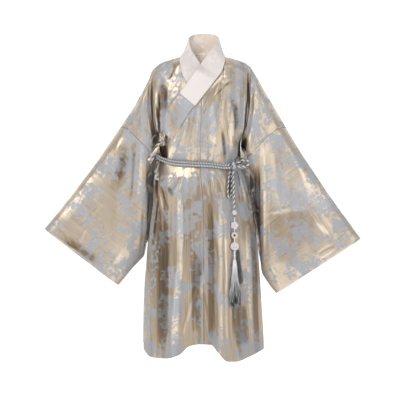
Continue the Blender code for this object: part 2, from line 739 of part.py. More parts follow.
# A tassel's head, from its top down: share of its height, share of its radius.
TASSEL_HEAD = ((0.0, 0.30), (0.12, 0.62), (0.45, 0.80), (0.8, 1.0), (1.0, 1.0))
TASSEL_SIDES = 14
STRAND_ROWS = (0.0, 0.25, 0.6, 1.0)
STRAND_ROOT = 0.004  # how far a strand runs up into the head


def pendant():
    top = on_ball(KNOT, KNOT_HALF, (0.05, -0.45, -1), 0.0027)
    low = PENDANT[0][1] + PENDANT[0][2] + 0.0004
    route = [top]
    for px, height, ahead in STRING_ROUTE:
        route.append((px, hang(0.111, height, 0.010) - ahead, height))
    route.append((PENDANT_X, hang(PENDANT_X, low, 0.010), low))
    tube("pendant_cord", route, 0.0085, "cord")
    loop = [on_ball(KNOT, KNOT_HALF, (-0.70, 0.0, -0.9), 0.0030)]
    loop += [(px, hang(0.104, height, 0.008), height) for px, height in LOOP_ROUTE]
    loop.append(on_ball(KNOT, KNOT_HALF, (-0.10, 0.30, -1), 0.0030))
    tube("belt_end_loop", loop, 0.007, "cord")
    for name, height, half, thick, finish in PENDANT:
        if name == "pendant_knot":
            centre = Vector((PENDANT_X, hang(PENDANT_X, height, thick), height))
            ball(name, centre, Vector((half * 0.9, thick / 2, half)), finish, 12, 8)
        else:
            disc(name, height, half, thick, finish)
    stops = [(height + half, height - half) for _, height, half, _, _ in PENDANT] + [(TAIL_Z, None)]
    names = ["pendant_link_1", "pendant_link_2", "pendant_link_3", "pendant_tail"]
    for name, above, below in zip(names, stops[:-1], stops[1:]):
        start, end = above[1] - 0.0004, below[0] + 0.0004
        width = 0.008 if name == "pendant_tail" else 0.005
        rows = [(PENDANT_X, hang(PENDANT_X, height, 0.007), height) for height in np.linspace(start, end, 3)]
        tube(name, rows, width, "cord")


def tassel_head(name, axis, top, high, radius, deep, finish):
    """A turned head: rings of points down its profile, round the axis."""
    shape = bmesh.new()
    previous = None
    for drop, wide in TASSEL_HEAD:
        mid_x, mid_y = axis(drop * high)
        circle = []
        for turn in np.radians(np.arange(TASSEL_SIDES) * 360 / TASSEL_SIDES):
            x, y = mid_x + wide * radius * math.cos(turn), mid_y + wide * deep * math.sin(turn)
            circle.append(shape.verts.new((x, y, top[2] - drop * high)))
        if previous:
            for k in range(TASSEL_SIDES):
                shape.faces.new((previous[k], previous[k - 1], circle[k - 1], circle[k]))
        else:
            shape.faces.new(circle)
        previous = circle
    shape.faces.new(previous[::-1])
    return place_bmesh(name, shape, finish)


def strand(shape, centres, turn):
    """A three-sided strand down its centres, a little thicker at its foot."""
    before = None
    for row, (x, y, z) in enumerate(centres):
        wide = 0.0007 + 0.0004 * STRAND_ROWS[row]
        corners = []
        for c in range(3):
            a = turn + 2 * math.pi * c / 3
            corners.append(shape.verts.new((x + wide * math.cos(a), y + wide * math.sin(a), z)))
        if before:
            for c in range(3):
                shape.faces.new((before[c], before[c - 1], corners[c - 1], corners[c]))
        else:
            shape.faces.new(corners)
        before = corners
    shape.faces.new(before[::-1])


def tassel(name, top, length, head, spread, lean, rings, finish="tassel"):
    """A tassel: a turned head with its strands rooted in it. Each strand keeps its own place in
    the ring that it starts from, so that none meets another, and all follow the skirt behind."""
    head_high, head_radius = head
    deep_head = 0.7 * head_radius

    def axis(drop):
        t = drop / length
        x = top[0] + lean * t * t
        deep = deep_head + (spread[1] - deep_head) * t
        return x, min(top[1], hang(x, top[2] - drop, 2 * deep))

    head_obj = tassel_head(name, axis, top, head_high, head_radius, deep_head, finish)
    shape = bmesh.new()
    root_z = top[2] - head_high + STRAND_ROOT
    for ring, (share, count) in enumerate(rings):
        for k in range(count):
            turn = 2 * math.pi * (k + 0.5 * (ring % 2)) / count
            sway = 0.0003 * math.sin(2.4 * turn + ring)
            foot = length * (1 - 0.05 * (1 + math.sin(5 * turn + 2 * ring)))
            centres = []
            for t in STRAND_ROWS:
                z = root_z + (top[2] - foot - root_z) * t
                mid_x, mid_y = axis(top[2] - z)
                wide = head_radius + (spread[0] - head_radius) * ease(0.9 * t) / ease(0.9)
                deep = deep_head + (spread[1] - deep_head) * t
                x = mid_x + share * wide * math.cos(turn) + sway * math.sin(6 * t)
                centres.append((x, mid_y + share * deep * math.sin(turn), z))
            strand(shape, centres, turn)
    bmesh.ops.recalc_face_normals(shape, faces=shape.faces)
    data = bpy.data.meshes.new(name + "_strands")
    shape.to_mesh(data)
    shape.free()
    strands = bpy.data.objects.new(name + "_strands", data)
    GUIDES.objects.link(strands)
    strands.hide_render = True
    strands.display_type = "WIRE"
    join = head_obj.modifiers.new("Strands", "BOOLEAN")
    join.operation = "UNION"
    join.object = strands


def tassels():
    x = PENDANT_X
    top = (x, hang(x, TAIL_Z, 0.007), TAIL_Z - 0.0004)
    rings = ((0.86, 22), (0.58, 14), (0.30, 8))
    tassel("tassel_front", top, 0.184, (0.030, 0.0085), (0.0200, 0.0100), 0.001, rings)
    _, disc_z, disc_radius, thick, _ = PENDANT[-1]
    aside = 0.0125
    below = math.sqrt(disc_radius**2 - (aside - 0.002) ** 2) + 0.0004
    top = (x + aside, hang(x, disc_z, thick), disc_z - below)
    rings = ((0.82, 15), (0.45, 8))
    tassel("tassel_back", top, 0.130, (0.020, 0.0070), (0.0110, 0.0075), 0.026, rings)


def ribbon(name, points, widths, sideways, finish="satin", wall=0.0015):
    """A flat tie: a strip along the points, as wide as widths, lying along the sideways vectors."""
    points, sideways = np.array(points, float), np.array(sideways, float)
    sideways /= np.linalg.norm(sideways, axis=1, keepdims=True)
    stations = np.arange(len(points), dtype=float)

    def surface(t, v):
        centre = np.stack([curve(stations, points[:, axis], t) for axis in range(3)], axis=-1)
        across = np.stack([curve(stations, sideways[:, axis], t) for axis in range(3)], axis=-1)
        return centre + across * (v * curve(stations, np.array(widths, float), t))[..., None]

    ts = np.linspace(0, len(points) - 1, 3 * len(points) - 2)

    def behind(outer):
        return outer + np.array([0, 0.05, 0])

    return cloth(name, surface, ts, np.array([-0.5, 0.0, 0.5]), finish, behind, wall=wall)


def ties():
    """The tie that closes the outer front at the wearer's right: a knot, its loop and two ends."""
    TIE_KNOT.y = cloth_at(TIE_KNOT.x, TIE_KNOT.z, -1, OUTER_LAYER)[1] - 0.011
    ball("tie_knot", TIE_KNOT, TIE_KNOT_HALF, "satin")
    x, y, z = TIE_KNOT
    start = on_ball(TIE_KNOT, TIE_KNOT_HALF, (-0.75, -0.3, -0.9), 0.0030)
    flat = [
        start,
        (x - 0.022, y - 0.014, z - 0.034),
        (x - 0.037, y - 0.020, z - 0.060),
        (x - 0.050, y - 0.022, z - 0.086),
    ]
    lie = [(0.9, 0, -0.35), (0.85, 0, -0.5), (0.82, 0, -0.55), (0.80, 0, -0.6)]
    ribbon("tie_end_flat", flat, [0.009, 0.015, 0.019, 0.019], lie)
    belt_foot = round_curve(BELT["angle"], BELT["z"], 154) - CORD - 0.0016
    px, py, pz = cloth_at(-0.172, belt_foot, -1, OUTER_LAYER + 0.0071)
    twisted = [
        (px, py, pz),
        (px - 0.007, py - 0.016, pz - 0.026),
        (px - 0.011, py - 0.024, pz - 0.052),
        (px - 0.012, py - 0.028, pz - 0.079),
    ]
    lie = [(0.85, -0.5, 0.1), (0.6, -0.8, 0.1), (0.8, -0.5, -0.2), (0.90, 0.1, -0.45)]
    ribbon("tie_end_twisted", twisted, [0.016, 0.018, 0.020, 0.022], lie)
    start = on_ball(TIE_KNOT, TIE_KNOT_HALF, (-1, -0.1, 0.5), 0.0004)
    loop = [
        start,
        (x - 0.024, y - 0.006, z + 0.018),
        (x - 0.036, y - 0.004, z + 0.010),
        (x - 0.043, y - 0.003, z - 0.008),
        (x - 0.038, y - 0.006, z - 0.024),
    ]
    lie = [(0.2, -1, 0.2), (0.25, -1, 0.2), (0.3, -1, 0), (0.3, -1, 0), (0.3, -1, 0.1)]
    ribbon("tie_loop", loop, [0.008, 0.010, 0.010, 0.010, 0.009], lie)


clear_scene()
panels()
sleeves()
collar()
belt()
pendant()
tassels()
ties()
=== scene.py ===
# %% [markdown]
# # A wide-sleeved robe with a crossed collar
# A robe is flat cloth, cut straight and sewn with long seams, that becomes a form once a body
# fills it. So each piece here is one surface with two directions, like cloth on a table, bent
# over a rounded section of the body. Folds are then added along named lines, and the woven figure
# is worked out in the material from the cloth's own length and width.

import json
import math

import bpy
import numpy as np
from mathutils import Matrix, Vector

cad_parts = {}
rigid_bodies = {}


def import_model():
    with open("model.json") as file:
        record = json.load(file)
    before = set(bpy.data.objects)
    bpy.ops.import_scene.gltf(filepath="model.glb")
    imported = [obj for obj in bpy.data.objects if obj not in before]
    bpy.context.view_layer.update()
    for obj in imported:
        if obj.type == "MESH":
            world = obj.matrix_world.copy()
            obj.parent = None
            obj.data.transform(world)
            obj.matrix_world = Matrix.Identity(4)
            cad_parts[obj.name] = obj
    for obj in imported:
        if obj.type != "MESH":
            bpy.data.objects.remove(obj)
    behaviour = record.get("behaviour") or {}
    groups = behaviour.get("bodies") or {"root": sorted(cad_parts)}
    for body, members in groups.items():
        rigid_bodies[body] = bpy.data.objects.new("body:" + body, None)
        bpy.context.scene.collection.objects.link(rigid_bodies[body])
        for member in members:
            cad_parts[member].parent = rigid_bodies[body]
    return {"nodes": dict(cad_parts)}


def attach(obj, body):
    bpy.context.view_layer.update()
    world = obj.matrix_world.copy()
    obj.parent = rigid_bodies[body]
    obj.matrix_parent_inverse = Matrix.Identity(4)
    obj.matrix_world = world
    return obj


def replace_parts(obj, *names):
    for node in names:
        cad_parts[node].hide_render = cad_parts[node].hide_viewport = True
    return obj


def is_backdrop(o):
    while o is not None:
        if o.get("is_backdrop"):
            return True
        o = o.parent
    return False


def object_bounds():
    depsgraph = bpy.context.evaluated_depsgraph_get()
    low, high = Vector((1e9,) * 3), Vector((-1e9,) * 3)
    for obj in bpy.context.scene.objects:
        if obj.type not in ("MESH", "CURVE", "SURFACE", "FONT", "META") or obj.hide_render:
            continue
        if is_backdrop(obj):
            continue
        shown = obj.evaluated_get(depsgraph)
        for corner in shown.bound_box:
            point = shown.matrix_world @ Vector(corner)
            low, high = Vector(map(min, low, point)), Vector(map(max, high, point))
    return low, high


for obj in list(bpy.data.objects):
    bpy.data.objects.remove(obj, do_unlink=True)
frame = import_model()
cad_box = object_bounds()
print("solids:", len(frame["nodes"]), "lowest corner", [round(v, 3) for v in cad_box[0]])

# %% [markdown]
# The camera comes first. The robe is seen straight from the front from a few metres away, with a
# long lens, so that its sleeves look as flat as they hang. The lens is worked out from one wish:
# a metre in the plane of the shoulders is to be 250 pixels of a 400-pixel frame.

# %% Camera
DISTANCE = 4.5  # metres from the shoulders' plane
FRAME_PIXELS, PIXELS_PER_METRE, SENSOR = 400, 250, 36.0
VIEW_CENTRE = (-0.012, -0.572)  # across and up

camera = bpy.data.cameras.new("camera")
camera.sensor_width = SENSOR
camera.lens = SENSOR * PIXELS_PER_METRE * DISTANCE / FRAME_PIXELS
eye = bpy.data.objects.new("camera", camera)
eye.location = (VIEW_CENTRE[0], -DISTANCE, VIEW_CENTRE[1])
eye.rotation_euler = (math.pi / 2, 0, 0)
bpy.context.scene.collection.objects.link(eye)
bpy.context.scene.camera = eye
print("lens:", round(camera.lens, 1), "mm")

# %% [markdown]
# Everything about the shape is kept in short tables with named columns, and a smooth curve is
# drawn through each. The curve must never overshoot its values, or a hem would bulge between two
# of them, so its slopes are held to the harmonic mean of the slopes on both sides (a monotone
# cubic).


# %% Tables and curves
def table(columns, *rows):
    """A short table: one array for each of the named columns."""
    return dict(zip(columns.split(), np.array(rows, float).T))


def in_mm(columns, *rows):
    """The same with lengths in millimetres, made metres. Angles, sides and shares stay as they are,
    and a rise of painted light and shade is in thousandths."""
    made = table(columns, *rows)
    return {name: made[name] / (1 if name in ("angle", "face", "w") else 1000) for name in made}


def curve(keys, values, at):
    """A cubic through the values whose slope at each is the harmonic mean of its neighbours'."""
    order = np.argsort(keys)
    keys, values = keys[order], values[order]
    at = np.clip(at, keys[0], keys[-1])
    slope = np.diff(values) / np.diff(keys)
    before, after = slope[:-1], slope[1:]
    even = np.where(before * after > 0, 1, 0)
    middle = even * 2 * before * after / np.where(even, before + after, 1)
    tangent = np.concatenate([slope[:1], middle, slope[-1:]])
    i = np.clip(np.searchsorted(keys, at, side="right") - 1, 0, len(keys) - 2)
    step = keys[i + 1] - keys[i]
    t = (at - keys[i]) / step
    rise = values[i] + (values[i + 1] - values[i]) * t * t * (3 - 2 * t)
    return rise + step * t * (1 - t) * ((1 - t) * tangent[i] - t * tangent[i + 1])


def read(rows, name, at):
    """A column of a table as a curve over the table's first column."""
    return curve(next(iter(rows.values())), rows[name], at)


def read_round(rows, name, angle):
    """The same for a table that goes once round, in degrees."""
    keys = np.concatenate([rows["angle"] + turn for turn in (-360, 0, 360)])
    return curve(keys, np.tile(rows[name], 3), np.mod(angle, 360))


def read_even(rows, at):
    """z over x for a table from the middle out that both sides share."""
    x, z = rows["x"], rows["z"]
    return curve(np.concatenate([-x[:0:-1], x]), np.concatenate([z[:0:-1], z]), at)


def curve_through(keys, points, at):
    """A smooth line through points in space, one for each key."""
    return np.stack([curve(keys, points[:, axis], at) for axis in range(3)], axis=-1)


ramp = in_mm("x z", (0, 0), (10, 2), (20, 20))
print("curve through 0, 2 and 20 mm, at 5 and 15:", read(ramp, "z", [0.005, 0.015]).round(4), "m")


# %% Small helpers
def ease(t):
    """From 0 to 1 with level ends: 3t^2 - 2t^3."""
    t = np.clip(t, 0, 1)
    return t * t * (3 - 2 * t)


def hump(distance, reach):
    """exp(-(distance / reach)^2): 1 at no distance, fading over the reach."""
    return np.exp(-((distance / reach) ** 2))


def grid(first, second):
    """Two arrays of rows and columns, the first value changing from row to row."""
    return np.meshgrid(first, second, indexing="ij")


def full_turn(count):
    return np.linspace(0, 2 * math.pi, count, endpoint=False)


print("halfway along an ease:", float(ease(0.5)))

# %% [markdown]
# ## The body's surface
# A worn robe is near an oval in section: wide shoulders, drawn in by the belt, and a skirt that
# opens towards the hem. An ellipse is too pointed at the sides, so the section is a superellipse.
# Its measures change with height, and a second table adds the skirt's deep folds round the body.

# %% Measures of the body
SEAM = 0.0003  # clearance between two sewn pieces
OUTER_LAYER = 0.006  # the outer front above the under front
COLLAR_RISE = 0.0033  # a collar above the cloth that it is sewn to
COLLAR_TUCK = 0.001  # how far a panel runs in under the collar
FULLNESS = 2.3  # exponent of the section, 2 for an ellipse
SHOULDER_ROUND = 0.055  # radius of the turn from front to back
UNDERARM = -0.355
ARMHOLE_OPEN, ARMHOLE_OVER = 0.10, 0.06  # how much of the section stays open, and over what height
NECK_POINT = 0.084  # half the neck's width on the shoulder
FOLDS_FROM, FOLDS_FULL = -0.47, -1.15
BELT_PINCH, BELT_PINCH_REACH = 0.007, 0.038  # how far in the belt draws the cloth, and over what

BODY = in_mm(
    "z centre half front back",
    (-1200, 2, 238, 168, 160), (-1050, -1, 234, 164, 156), (-900, -3, 228, 158, 150),
    (-750, -3, 218, 150, 140), (-600, -4, 200, 138, 128), (-492, -12, 186, 124, 112),
    (-425, -14, 168, 112, 100), (-355, -15, 163, 120, 108), (-270, -12, 182, 128, 115),
    (-170, -11, 195, 124, 113), (-52, -6, 194, 105, 100), (0, 0, 195, 85, 85),
)
SHOULDER = in_mm("x z", (0, 50), (60, 12), (90, 0), (130, -11), (170, -26), (200, -50))
OUTER_NECK = in_mm(
    "x z",
    (-180, -374), (-150, -358), (-129, -345.7), (-117.3, -330), (-49.4, -227), (-31.5, -207),
    (26.3, -134), (58.8, -91.3), (76, -56), (83, -25), (84, -4),
)
UNDER_NECK = in_mm(
    "x z",
    (-84, -4), (-83.5, -30), (-81, -62), (-75.7, -96), (-30, -170), (20, -240), (80, -330),
)
BACK_NECK = in_mm("x z", (0, 18), (40, 13), (60, 7), (75, 2), (84, 0))
HEM = in_mm(
    "angle z",
    (0, -1152), (25, -1158), (50, -1178), (66, -1193), (73, -1192), (79, -1160), (84, -1134),
    (92, -1132), (102, -1140), (112, -1174), (122, -1184), (138, -1182), (155, -1160), (180, -1140),
    (225, -1175), (270, -1152), (315, -1178),
)
FOLDS = in_mm(
    "angle out",
    (0, 0), (25, 12), (50, 18), (66, 26), (74, 18), (81, -22), (92, -34), (104, -28), (116, 2),
    (135, 20), (155, 10), (172, -4), (195, 12), (222, -16), (245, 20), (270, -18), (295, 18),
    (318, -14), (340, 10),
)
BELT = in_mm(
    "angle z out",
    (0, -446, 1), (25, -442, 6), (55, -443, 6), (80, -435.2, 6), (100, -431.6, 6), (120, -426.8, 6),
    (140, -414.8, 7.5), (160, -399, 9), (175, -392, 7), (200, -396, -0.8), (235, -415, -0.8),
    (270, -425, -0.8), (310, -435, -0.8), (345, -444, -0.8),
)
print("sections:", len(BODY["z"]), "folds round the skirt:", len(FOLDS["angle"]))


# %% [markdown]
# A point of the cloth has an angle q, 0 at the wearer's left side and 180 at the right, and a
# height. Near the shoulder the front and the back turn over a quarter circle to meet on the
# shoulder line, so the depth there is scaled by how far the cloth has come round.


# %% The body's surface
def belt_height(angle):
    return read_round(BELT, "z", angle)


def shoulder_line(x):
    return read_even(SHOULDER, x)


def body(q, z, face, out=0.0, turn=None):
    """Half width times cos(q)^(2/n) across, depth times (1 - |across|^n)^(1/n) to the front or
    back, moved out by its layer, the skirt's folds and, near the belt, in by the pinch."""
    q, z = np.broadcast_arrays(np.asarray(q, float), np.asarray(z, float))
    centre, half = read(BODY, "centre", z), read(BODY, "half", z)
    depth = read(BODY, "front" if face < 0 else "back", z)
    cosine, sine = np.cos(np.radians(q)), np.sin(np.radians(q))
    across = np.sign(cosine) * np.abs(cosine) ** (2 / FULLNESS)
    close = 1 - ARMHOLE_OPEN * ease((z - UNDERARM) / ARMHOLE_OVER)
    x = centre + across * half
    if turn is None:
        drop = np.clip((shoulder_line(x) - z) / SHOULDER_ROUND, 0, 1)
        turn = np.sqrt(1 - (1 - drop) ** 2)
    y = depth * turn * np.maximum(1 - (np.abs(across) * close) ** FULLNESS, 0) ** (1 / FULLNESS)
    angle = q if face < 0 else 360 - q
    opened = ease((z - FOLDS_FROM) / (FOLDS_FULL - FOLDS_FROM))
    fold = read_round(FOLDS, "out", angle) * opened
    pinch = BELT_PINCH * hump(z - belt_height(angle), BELT_PINCH_REACH)
    out = out + fold - pinch
    y = face * (y + out * np.abs(sine) * turn + SEAM / 2)
    return np.stack([x + out * cosine * (turn if face < 0 else 1), y, z], axis=-1)


print("left side at the waist:", np.round(body(0, -0.492, -1), 3))


# %% [markdown]
# A panel of cloth starts where its own neck edge or the shoulder line cuts this surface, and runs
# down to the hem. Where that is can't be written down at once, since the surface leans, so it is
# found by halving an interval. A place on a panel is then an angle and a share of the way down.


# %% Edges of the panels
def neck_line(edge):
    """A neck edge as a function of x, moved a little way in under the collar."""
    x, z = edge["x"], edge["z"]
    slope = np.gradient(z, x)
    size = np.hypot(1, slope)
    moved_x, moved_z = x - COLLAR_TUCK * slope / size, z + COLLAR_TUCK / size
    return lambda at: curve(moved_x, moved_z, at)


def outer_top(x):
    return np.where(x > NECK_POINT, 1, neck_line(OUTER_NECK)(x))


def under_top(x):
    return np.where(x < -NECK_POINT, 1, neck_line(UNDER_NECK)(x))


def back_top(x):
    return np.where(np.abs(x) > NECK_POINT, 1, read_even(BACK_NECK, x) + COLLAR_TUCK)


def top_height(q, face, top):
    """Where a panel's column starts: halving the interval until the point lies on its top edge."""
    low, high = np.full(np.shape(q), UNDERARM - 0.1), np.full(np.shape(q), 0.06)
    for _ in range(40):
        middle = (low + high) / 2
        x = body(q, middle, face)[..., 0]
        above = middle > np.minimum(shoulder_line(x), top(x))
        low, high = np.where(above, low, middle), np.where(above, middle, high)
    return (low + high) / 2


def panel_point(q, s, face, top, layer):
    """A point of a panel: s runs from 0 at its top edge over 1 at the underarm to 2 at the hem."""
    rows, place = np.unique(q, return_inverse=True)
    start = top_height(rows, face, top)[place].reshape(np.shape(q))
    ridge = shoulder_line(body(q, start, face)[..., 0])
    turned = np.arccos(1 - np.clip((ridge - start) / SHOULDER_ROUND, 0, 1))
    arc = SHOULDER_ROUND * (math.pi / 2 - turned)
    straight = np.minimum(start, ridge - SHOULDER_ROUND) - UNDERARM
    along = s * (arc + straight)
    angle = turned + along / SHOULDER_ROUND
    on_arc = (along < arc) & (arc > 0)
    round_the_arc = ridge - SHOULDER_ROUND * (1 - np.cos(angle))
    z = np.where(on_arc, round_the_arc, UNDERARM + straight + arc - along)
    hem = read_round(HEM, "z", q if face < 0 else 360 - q)
    z = np.where(s > 1, UNDERARM + (hem - UNDERARM) * (s - 1), z)
    turn = np.where(on_arc, np.sin(angle), 1)
    return body(q, z, face, layer(q), turn)


def outer_layer(q):
    return OUTER_LAYER * ease(q / 25)


def no_layer(q):
    return 0 * q


def cloth_at(x, z, face, out):
    """The point of the body's cloth at x and z, moved out, and up where it turns over the
    shoulder."""
    q = np.linspace(0.5, 179.5, 719)
    shape = body(q, z, face, out)
    upward = 1 - min(max((shoulder_line(x) - z) / SHOULDER_ROUND, 0), 1)
    return np.array([x, np.interp(-x, -shape[:, 0], shape[:, 1]), z + out * upward])


print("front of the chest:", np.round(cloth_at(0.0, -0.25, -1, 0), 3))


# %% [markdown]
# ## From arrays to a mesh
# A grid of points becomes a mesh by joining each four neighbours with a face. The grid may close
# on itself one way, as round a sleeve or a cord, and several equal grids may share one mesh, as
# the strands of a rope do. The cloth's own length and width go into a UV map in metres, because
# the weave has to follow the cloth and not the room.


# %% Grids to meshes
def lattice(count, rows, columns, joined_rows=False, joined_columns=False):
    """Corner numbers of the quads of count grids of rows x columns points, in one array."""
    index = np.arange(rows * columns).reshape(rows, columns)
    if joined_rows:
        index = np.concatenate([index, index[:1]])
    if joined_columns:
        index = np.concatenate([index, index[:, :1]], axis=1)
    quads = np.stack([index[:-1, :-1], index[1:, :-1], index[1:, 1:], index[:-1, 1:]], axis=-1)
    quads = quads.reshape(1, -1, 4) + (np.arange(count) * rows * columns)[:, None, None]
    return quads.reshape(-1, 4)


def build(name, points, quads, finish, caps=(), uv=None, tone=None, smooth=True):
    """A mesh from points, quads and end caps; uv and the painted light and shade hold one value for
    each point, and uv may instead hold one for each corner of the quads."""
    data = bpy.data.meshes.new(name)
    faces = quads.tolist() + [list(cap) for cap in caps]
    data.from_pydata(points.reshape(-1, 3), [], faces)
    if uv is not None:
        corners = uv.reshape(-1, 2)
        if len(corners) == len(data.vertices):
            order = np.concatenate([np.ravel(face) for face in (quads, *caps)])
            corners = corners[order]
        layer = data.uv_layers.new(name="cloth")
        filled = np.zeros((len(data.loops), 2), np.float32)
        filled[: len(corners)] = corners[: len(data.loops)]
        layer.data.foreach_set("uv", filled.ravel())
    if tone is not None:
        layer = data.attributes.new("tone", "FLOAT", "POINT")
        # Painted light and shade: above 0.2 for lit cloth, below 0.2 for painted deep shade.
        bright, dark = 0.2 + 0.8 * np.minimum(tone, 1), 0.2 * (1 + np.maximum(tone, -1))
        shown = np.where(tone > 0, bright, dark)
        layer.data.foreach_set("value", np.ascontiguousarray(shown, np.float32).ravel())
    if smooth:
        data.shade_smooth()
    obj = bpy.data.objects.new(name, data)
    bpy.context.scene.collection.objects.link(obj)
    data.materials.append(finish)
    return obj


print("quads of a 3 x 3 grid:", lattice(1, 3, 3).tolist())


# %% Normals, caps and thickness
def surface_normals(points, joined_rows=False):
    """The cross product of the differences between a grid's neighbours, both ways."""
    if joined_rows:
        along = np.roll(points, -1, axis=0) - np.roll(points, 1, axis=0)
    else:
        along = np.gradient(points, axis=0)
    normal = np.cross(along, np.gradient(points, axis=1))
    return normal / np.maximum(np.linalg.norm(normal, axis=-1, keepdims=True), 1e-12)


def facing_out(points, quads, normal):
    """The quads, turned round if their own normals point against the given ones, and whether they
    agreed."""
    middle = quads[len(quads) // 2]
    first, second, third = points.reshape(-1, 3)[middle[:3]]
    across = np.cross(second - first, third - first)
    agreed = np.dot(across, normal.reshape(-1, 3)[middle[0]]) >= 0
    return quads if agreed else quads[:, ::-1], agreed


def end_caps(points):
    """Faces that close the two ends of a grid whose columns go round."""
    ring = np.arange(points.shape[1])
    return [ring, ring[::-1] + points.size // 3 - len(ring)]


def thicken(obj, wall):
    """Gives a sheet its thickness, on its inner side."""
    solid = obj.modifiers.new("Cloth thickness", "SOLIDIFY")
    solid.thickness = wall
    solid.offset = -1
    solid.material_offset = len(obj.data.materials) - 1
    return obj


def settle(obj, slot, *nodes):
    """The body that a piece moves with and the solids that it stands for; slot, the piece's kind of
    finish, is not used.
    """
    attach(obj, "root")
    if nodes:
        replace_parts(obj, *nodes)
    return obj


print("end caps of 3 rings of 4:", [cap.tolist() for cap in end_caps(np.zeros((3, 4, 3)))])

# %% [markdown]
# ## Finishes
# Shader maths reads best as plain expressions. A small class wraps a socket, and its signs add
# the Math nodes. Constants stay on the sockets of the shader.


# %% A socket that can be reckoned with
class Value:
    def __init__(self, finish, socket):
        self.finish, self.socket = finish, socket

    def __add__(self, other):
        return self.finish.math("ADD", self, other)

    def __sub__(self, other):
        return self.finish.math("SUBTRACT", self, other)

    def __rsub__(self, other):
        return self.finish.math("SUBTRACT", other, self)

    def __mul__(self, other):
        return self.finish.math("MULTIPLY", self, other)

    def __truediv__(self, other):
        return self.finish.math("DIVIDE", self, other)

    __radd__, __rmul__ = __add__, __mul__


print("signs that add a Math node: + - * /")


# %% A finish and its usual nodes
class Finish:
    """One material: its node tree, its Principled shader, and short names for the usual nodes."""

    def __init__(self, name, **constants):
        self.material = bpy.data.materials.new(name)
        self.material.use_nodes = True
        self.tree = self.material.node_tree
        self.shader = self.tree.nodes["Principled BSDF"]
        self.set(**constants)

    def set(self, **values):
        """Sets or links the shader's sockets; an underscore in a name stands for a space."""
        for name, value in values.items():
            shown = name.replace("_", " ").title().replace("Ior", "IOR")
            self.feed(self.shader.inputs[shown], value)

    def feed(self, socket, value):
        if isinstance(value, Value):
            self.tree.links.new(value.socket, socket)
        else:
            socket.default_value = value

    def node(self, kind, settings, inputs, output=0):
        made = self.tree.nodes.new(kind)
        for name, value in settings.items():
            setattr(made, name, value)
        for name, value in inputs.items():
            self.feed(made.inputs[name], value)
        return Value(self, made.outputs[output])

    def math(self, operation, *values, clamp=False):
        settings = {"operation": operation, "use_clamp": clamp}
        return self.node("ShaderNodeMath", settings, dict(enumerate(values)))

    def vector(self, operation, *values, output=0):
        inputs = dict(enumerate(values))
        return self.node("ShaderNodeVectorMath", {"operation": operation}, inputs, output)

    def cloth(self):
        """The place on the cloth, in metres of its own length and width."""
        return self.node("ShaderNodeUVMap", {"uv_map": "cloth"}, {})

    def spun(self, vector, angle):
        """The parts of a vector after a turn in the plane of the cloth."""
        spin = {"Vector": vector, "Angle": angle}
        return self.parts(self.node("ShaderNodeVectorRotate", {"rotation_type": "Z_AXIS"}, spin))

    def parts(self, vector):
        """The x, y and z of a vector, or the red, green and blue of a colour."""
        made = self.node("ShaderNodeSeparateXYZ", {}, {0: vector}).socket.node
        return [Value(self, socket) for socket in made.outputs]

    def mix(self, share, first, second):
        return self.node("ShaderNodeMix", {"data_type": "RGBA"}, {0: share, 6: first, 7: second}, 2)

    def noise(self, place, scale, detail=2.0, output="Fac"):
        inputs = {"Vector": place, "Scale": scale, "Detail": detail}
        return self.node("ShaderNodeTexNoise", {}, inputs, output)

    def drawn_out(self, place, scale, detail=2.0):
        """Noise with its own fineness each way."""
        stretched = self.node("ShaderNodeMapping", {}, {"Vector": place, "Scale": scale})
        return self.noise(stretched, 1.0, detail)

    def bent(self, place, scale, amount):
        """A place pushed about by slow noise."""
        push = {0: self.noise(place, scale, 1.0, "Color"), "Scale": amount}
        push = self.node("ShaderNodeVectorMath", {"operation": "SCALE"}, push)
        return self.vector("ADD", place, push)

    def step(self, value, edge, soft):
        """0 below the edge, 1 above it, with a soft way between."""
        return self.math("MULTIPLY_ADD", value - edge, 0.5 / soft, 0.5, clamp=True)

    def either(self, *masks):
        found = masks[0]
        for mask in masks[1:]:
            found = self.math("MAXIMUM", found, mask)
        return found

    def bump(self, height, distance, strength=1.0):
        inputs = {"Strength": strength, "Distance": distance, "Height": height}
        return self.node("ShaderNodeBump", {}, inputs)


print("a finish is one Principled shader with its nodes")

# %% [markdown]
# The damask is the hardest finish. Its ground is champagne satin, whose long floating threads
# reflect like dull metal, and its figure is woven the other way round, so that it is matte and
# blue-grey. The figure is a common one: long clumps of five-petalled blossoms, with leaves and
# thin curling twigs round them. One Voronoi texture scatters the clumps, each an ellipse with its
# own turn. A finer one scatters the blossoms, and a blossom is there if its own middle lies in a
# clump. So blossoms come whole, and a clump's edge is scalloped.


# %% The woven figure
CLUMP_EVERY, CLUMP_LONG, CLUMP_WIDE = 0.125, 0.046, 0.020
BLOSSOMS = {"big": 0.034, "more": 0.025, "small": 0.019}  # metres from blossom to blossom
LEAF_EVERY = 0.017
EYE, PETALS_MEET, TIPS = 0.15, 0.34, 0.74  # where a blossom's parts end, as shares of its reach
CORE, MASSED, FRINGED, TWIGGED, LEAVED = 0.36, 0.92, 1.15, 2.0, 2.2  # reach of each in a clump
WITH_EYE, VEINLESS, FULL_LEAVES = 0.62, 0.55, 0.5  # shares of the blossoms and of the leaves
TWIG_HALF, TWIG_EDGE, LEAF_NEAR = 0.030, 0.003, 0.08  # in values of the curling noise
BLADE_EDGE = 0.0003  # how soft a leaf's outline is
WOVEN_EDGE = 0.0004  # how soft a blossom's outline is
SOFT_CHOICE = 0.01  # how soft a choice between two random numbers is


def cells(f, place, size, loose):
    """The middle of the Voronoi cell that a place is in, and three random numbers of that cell."""
    settings = {"feature": "F1", "voronoi_dimensions": "2D"}
    inputs = {"Vector": place, "Scale": 1 / size, "Randomness": loose}
    middle = f.node("ShaderNodeTexVoronoi", settings, inputs, "Position")
    return middle, f.parts(Value(f, middle.socket.node.outputs["Color"]))


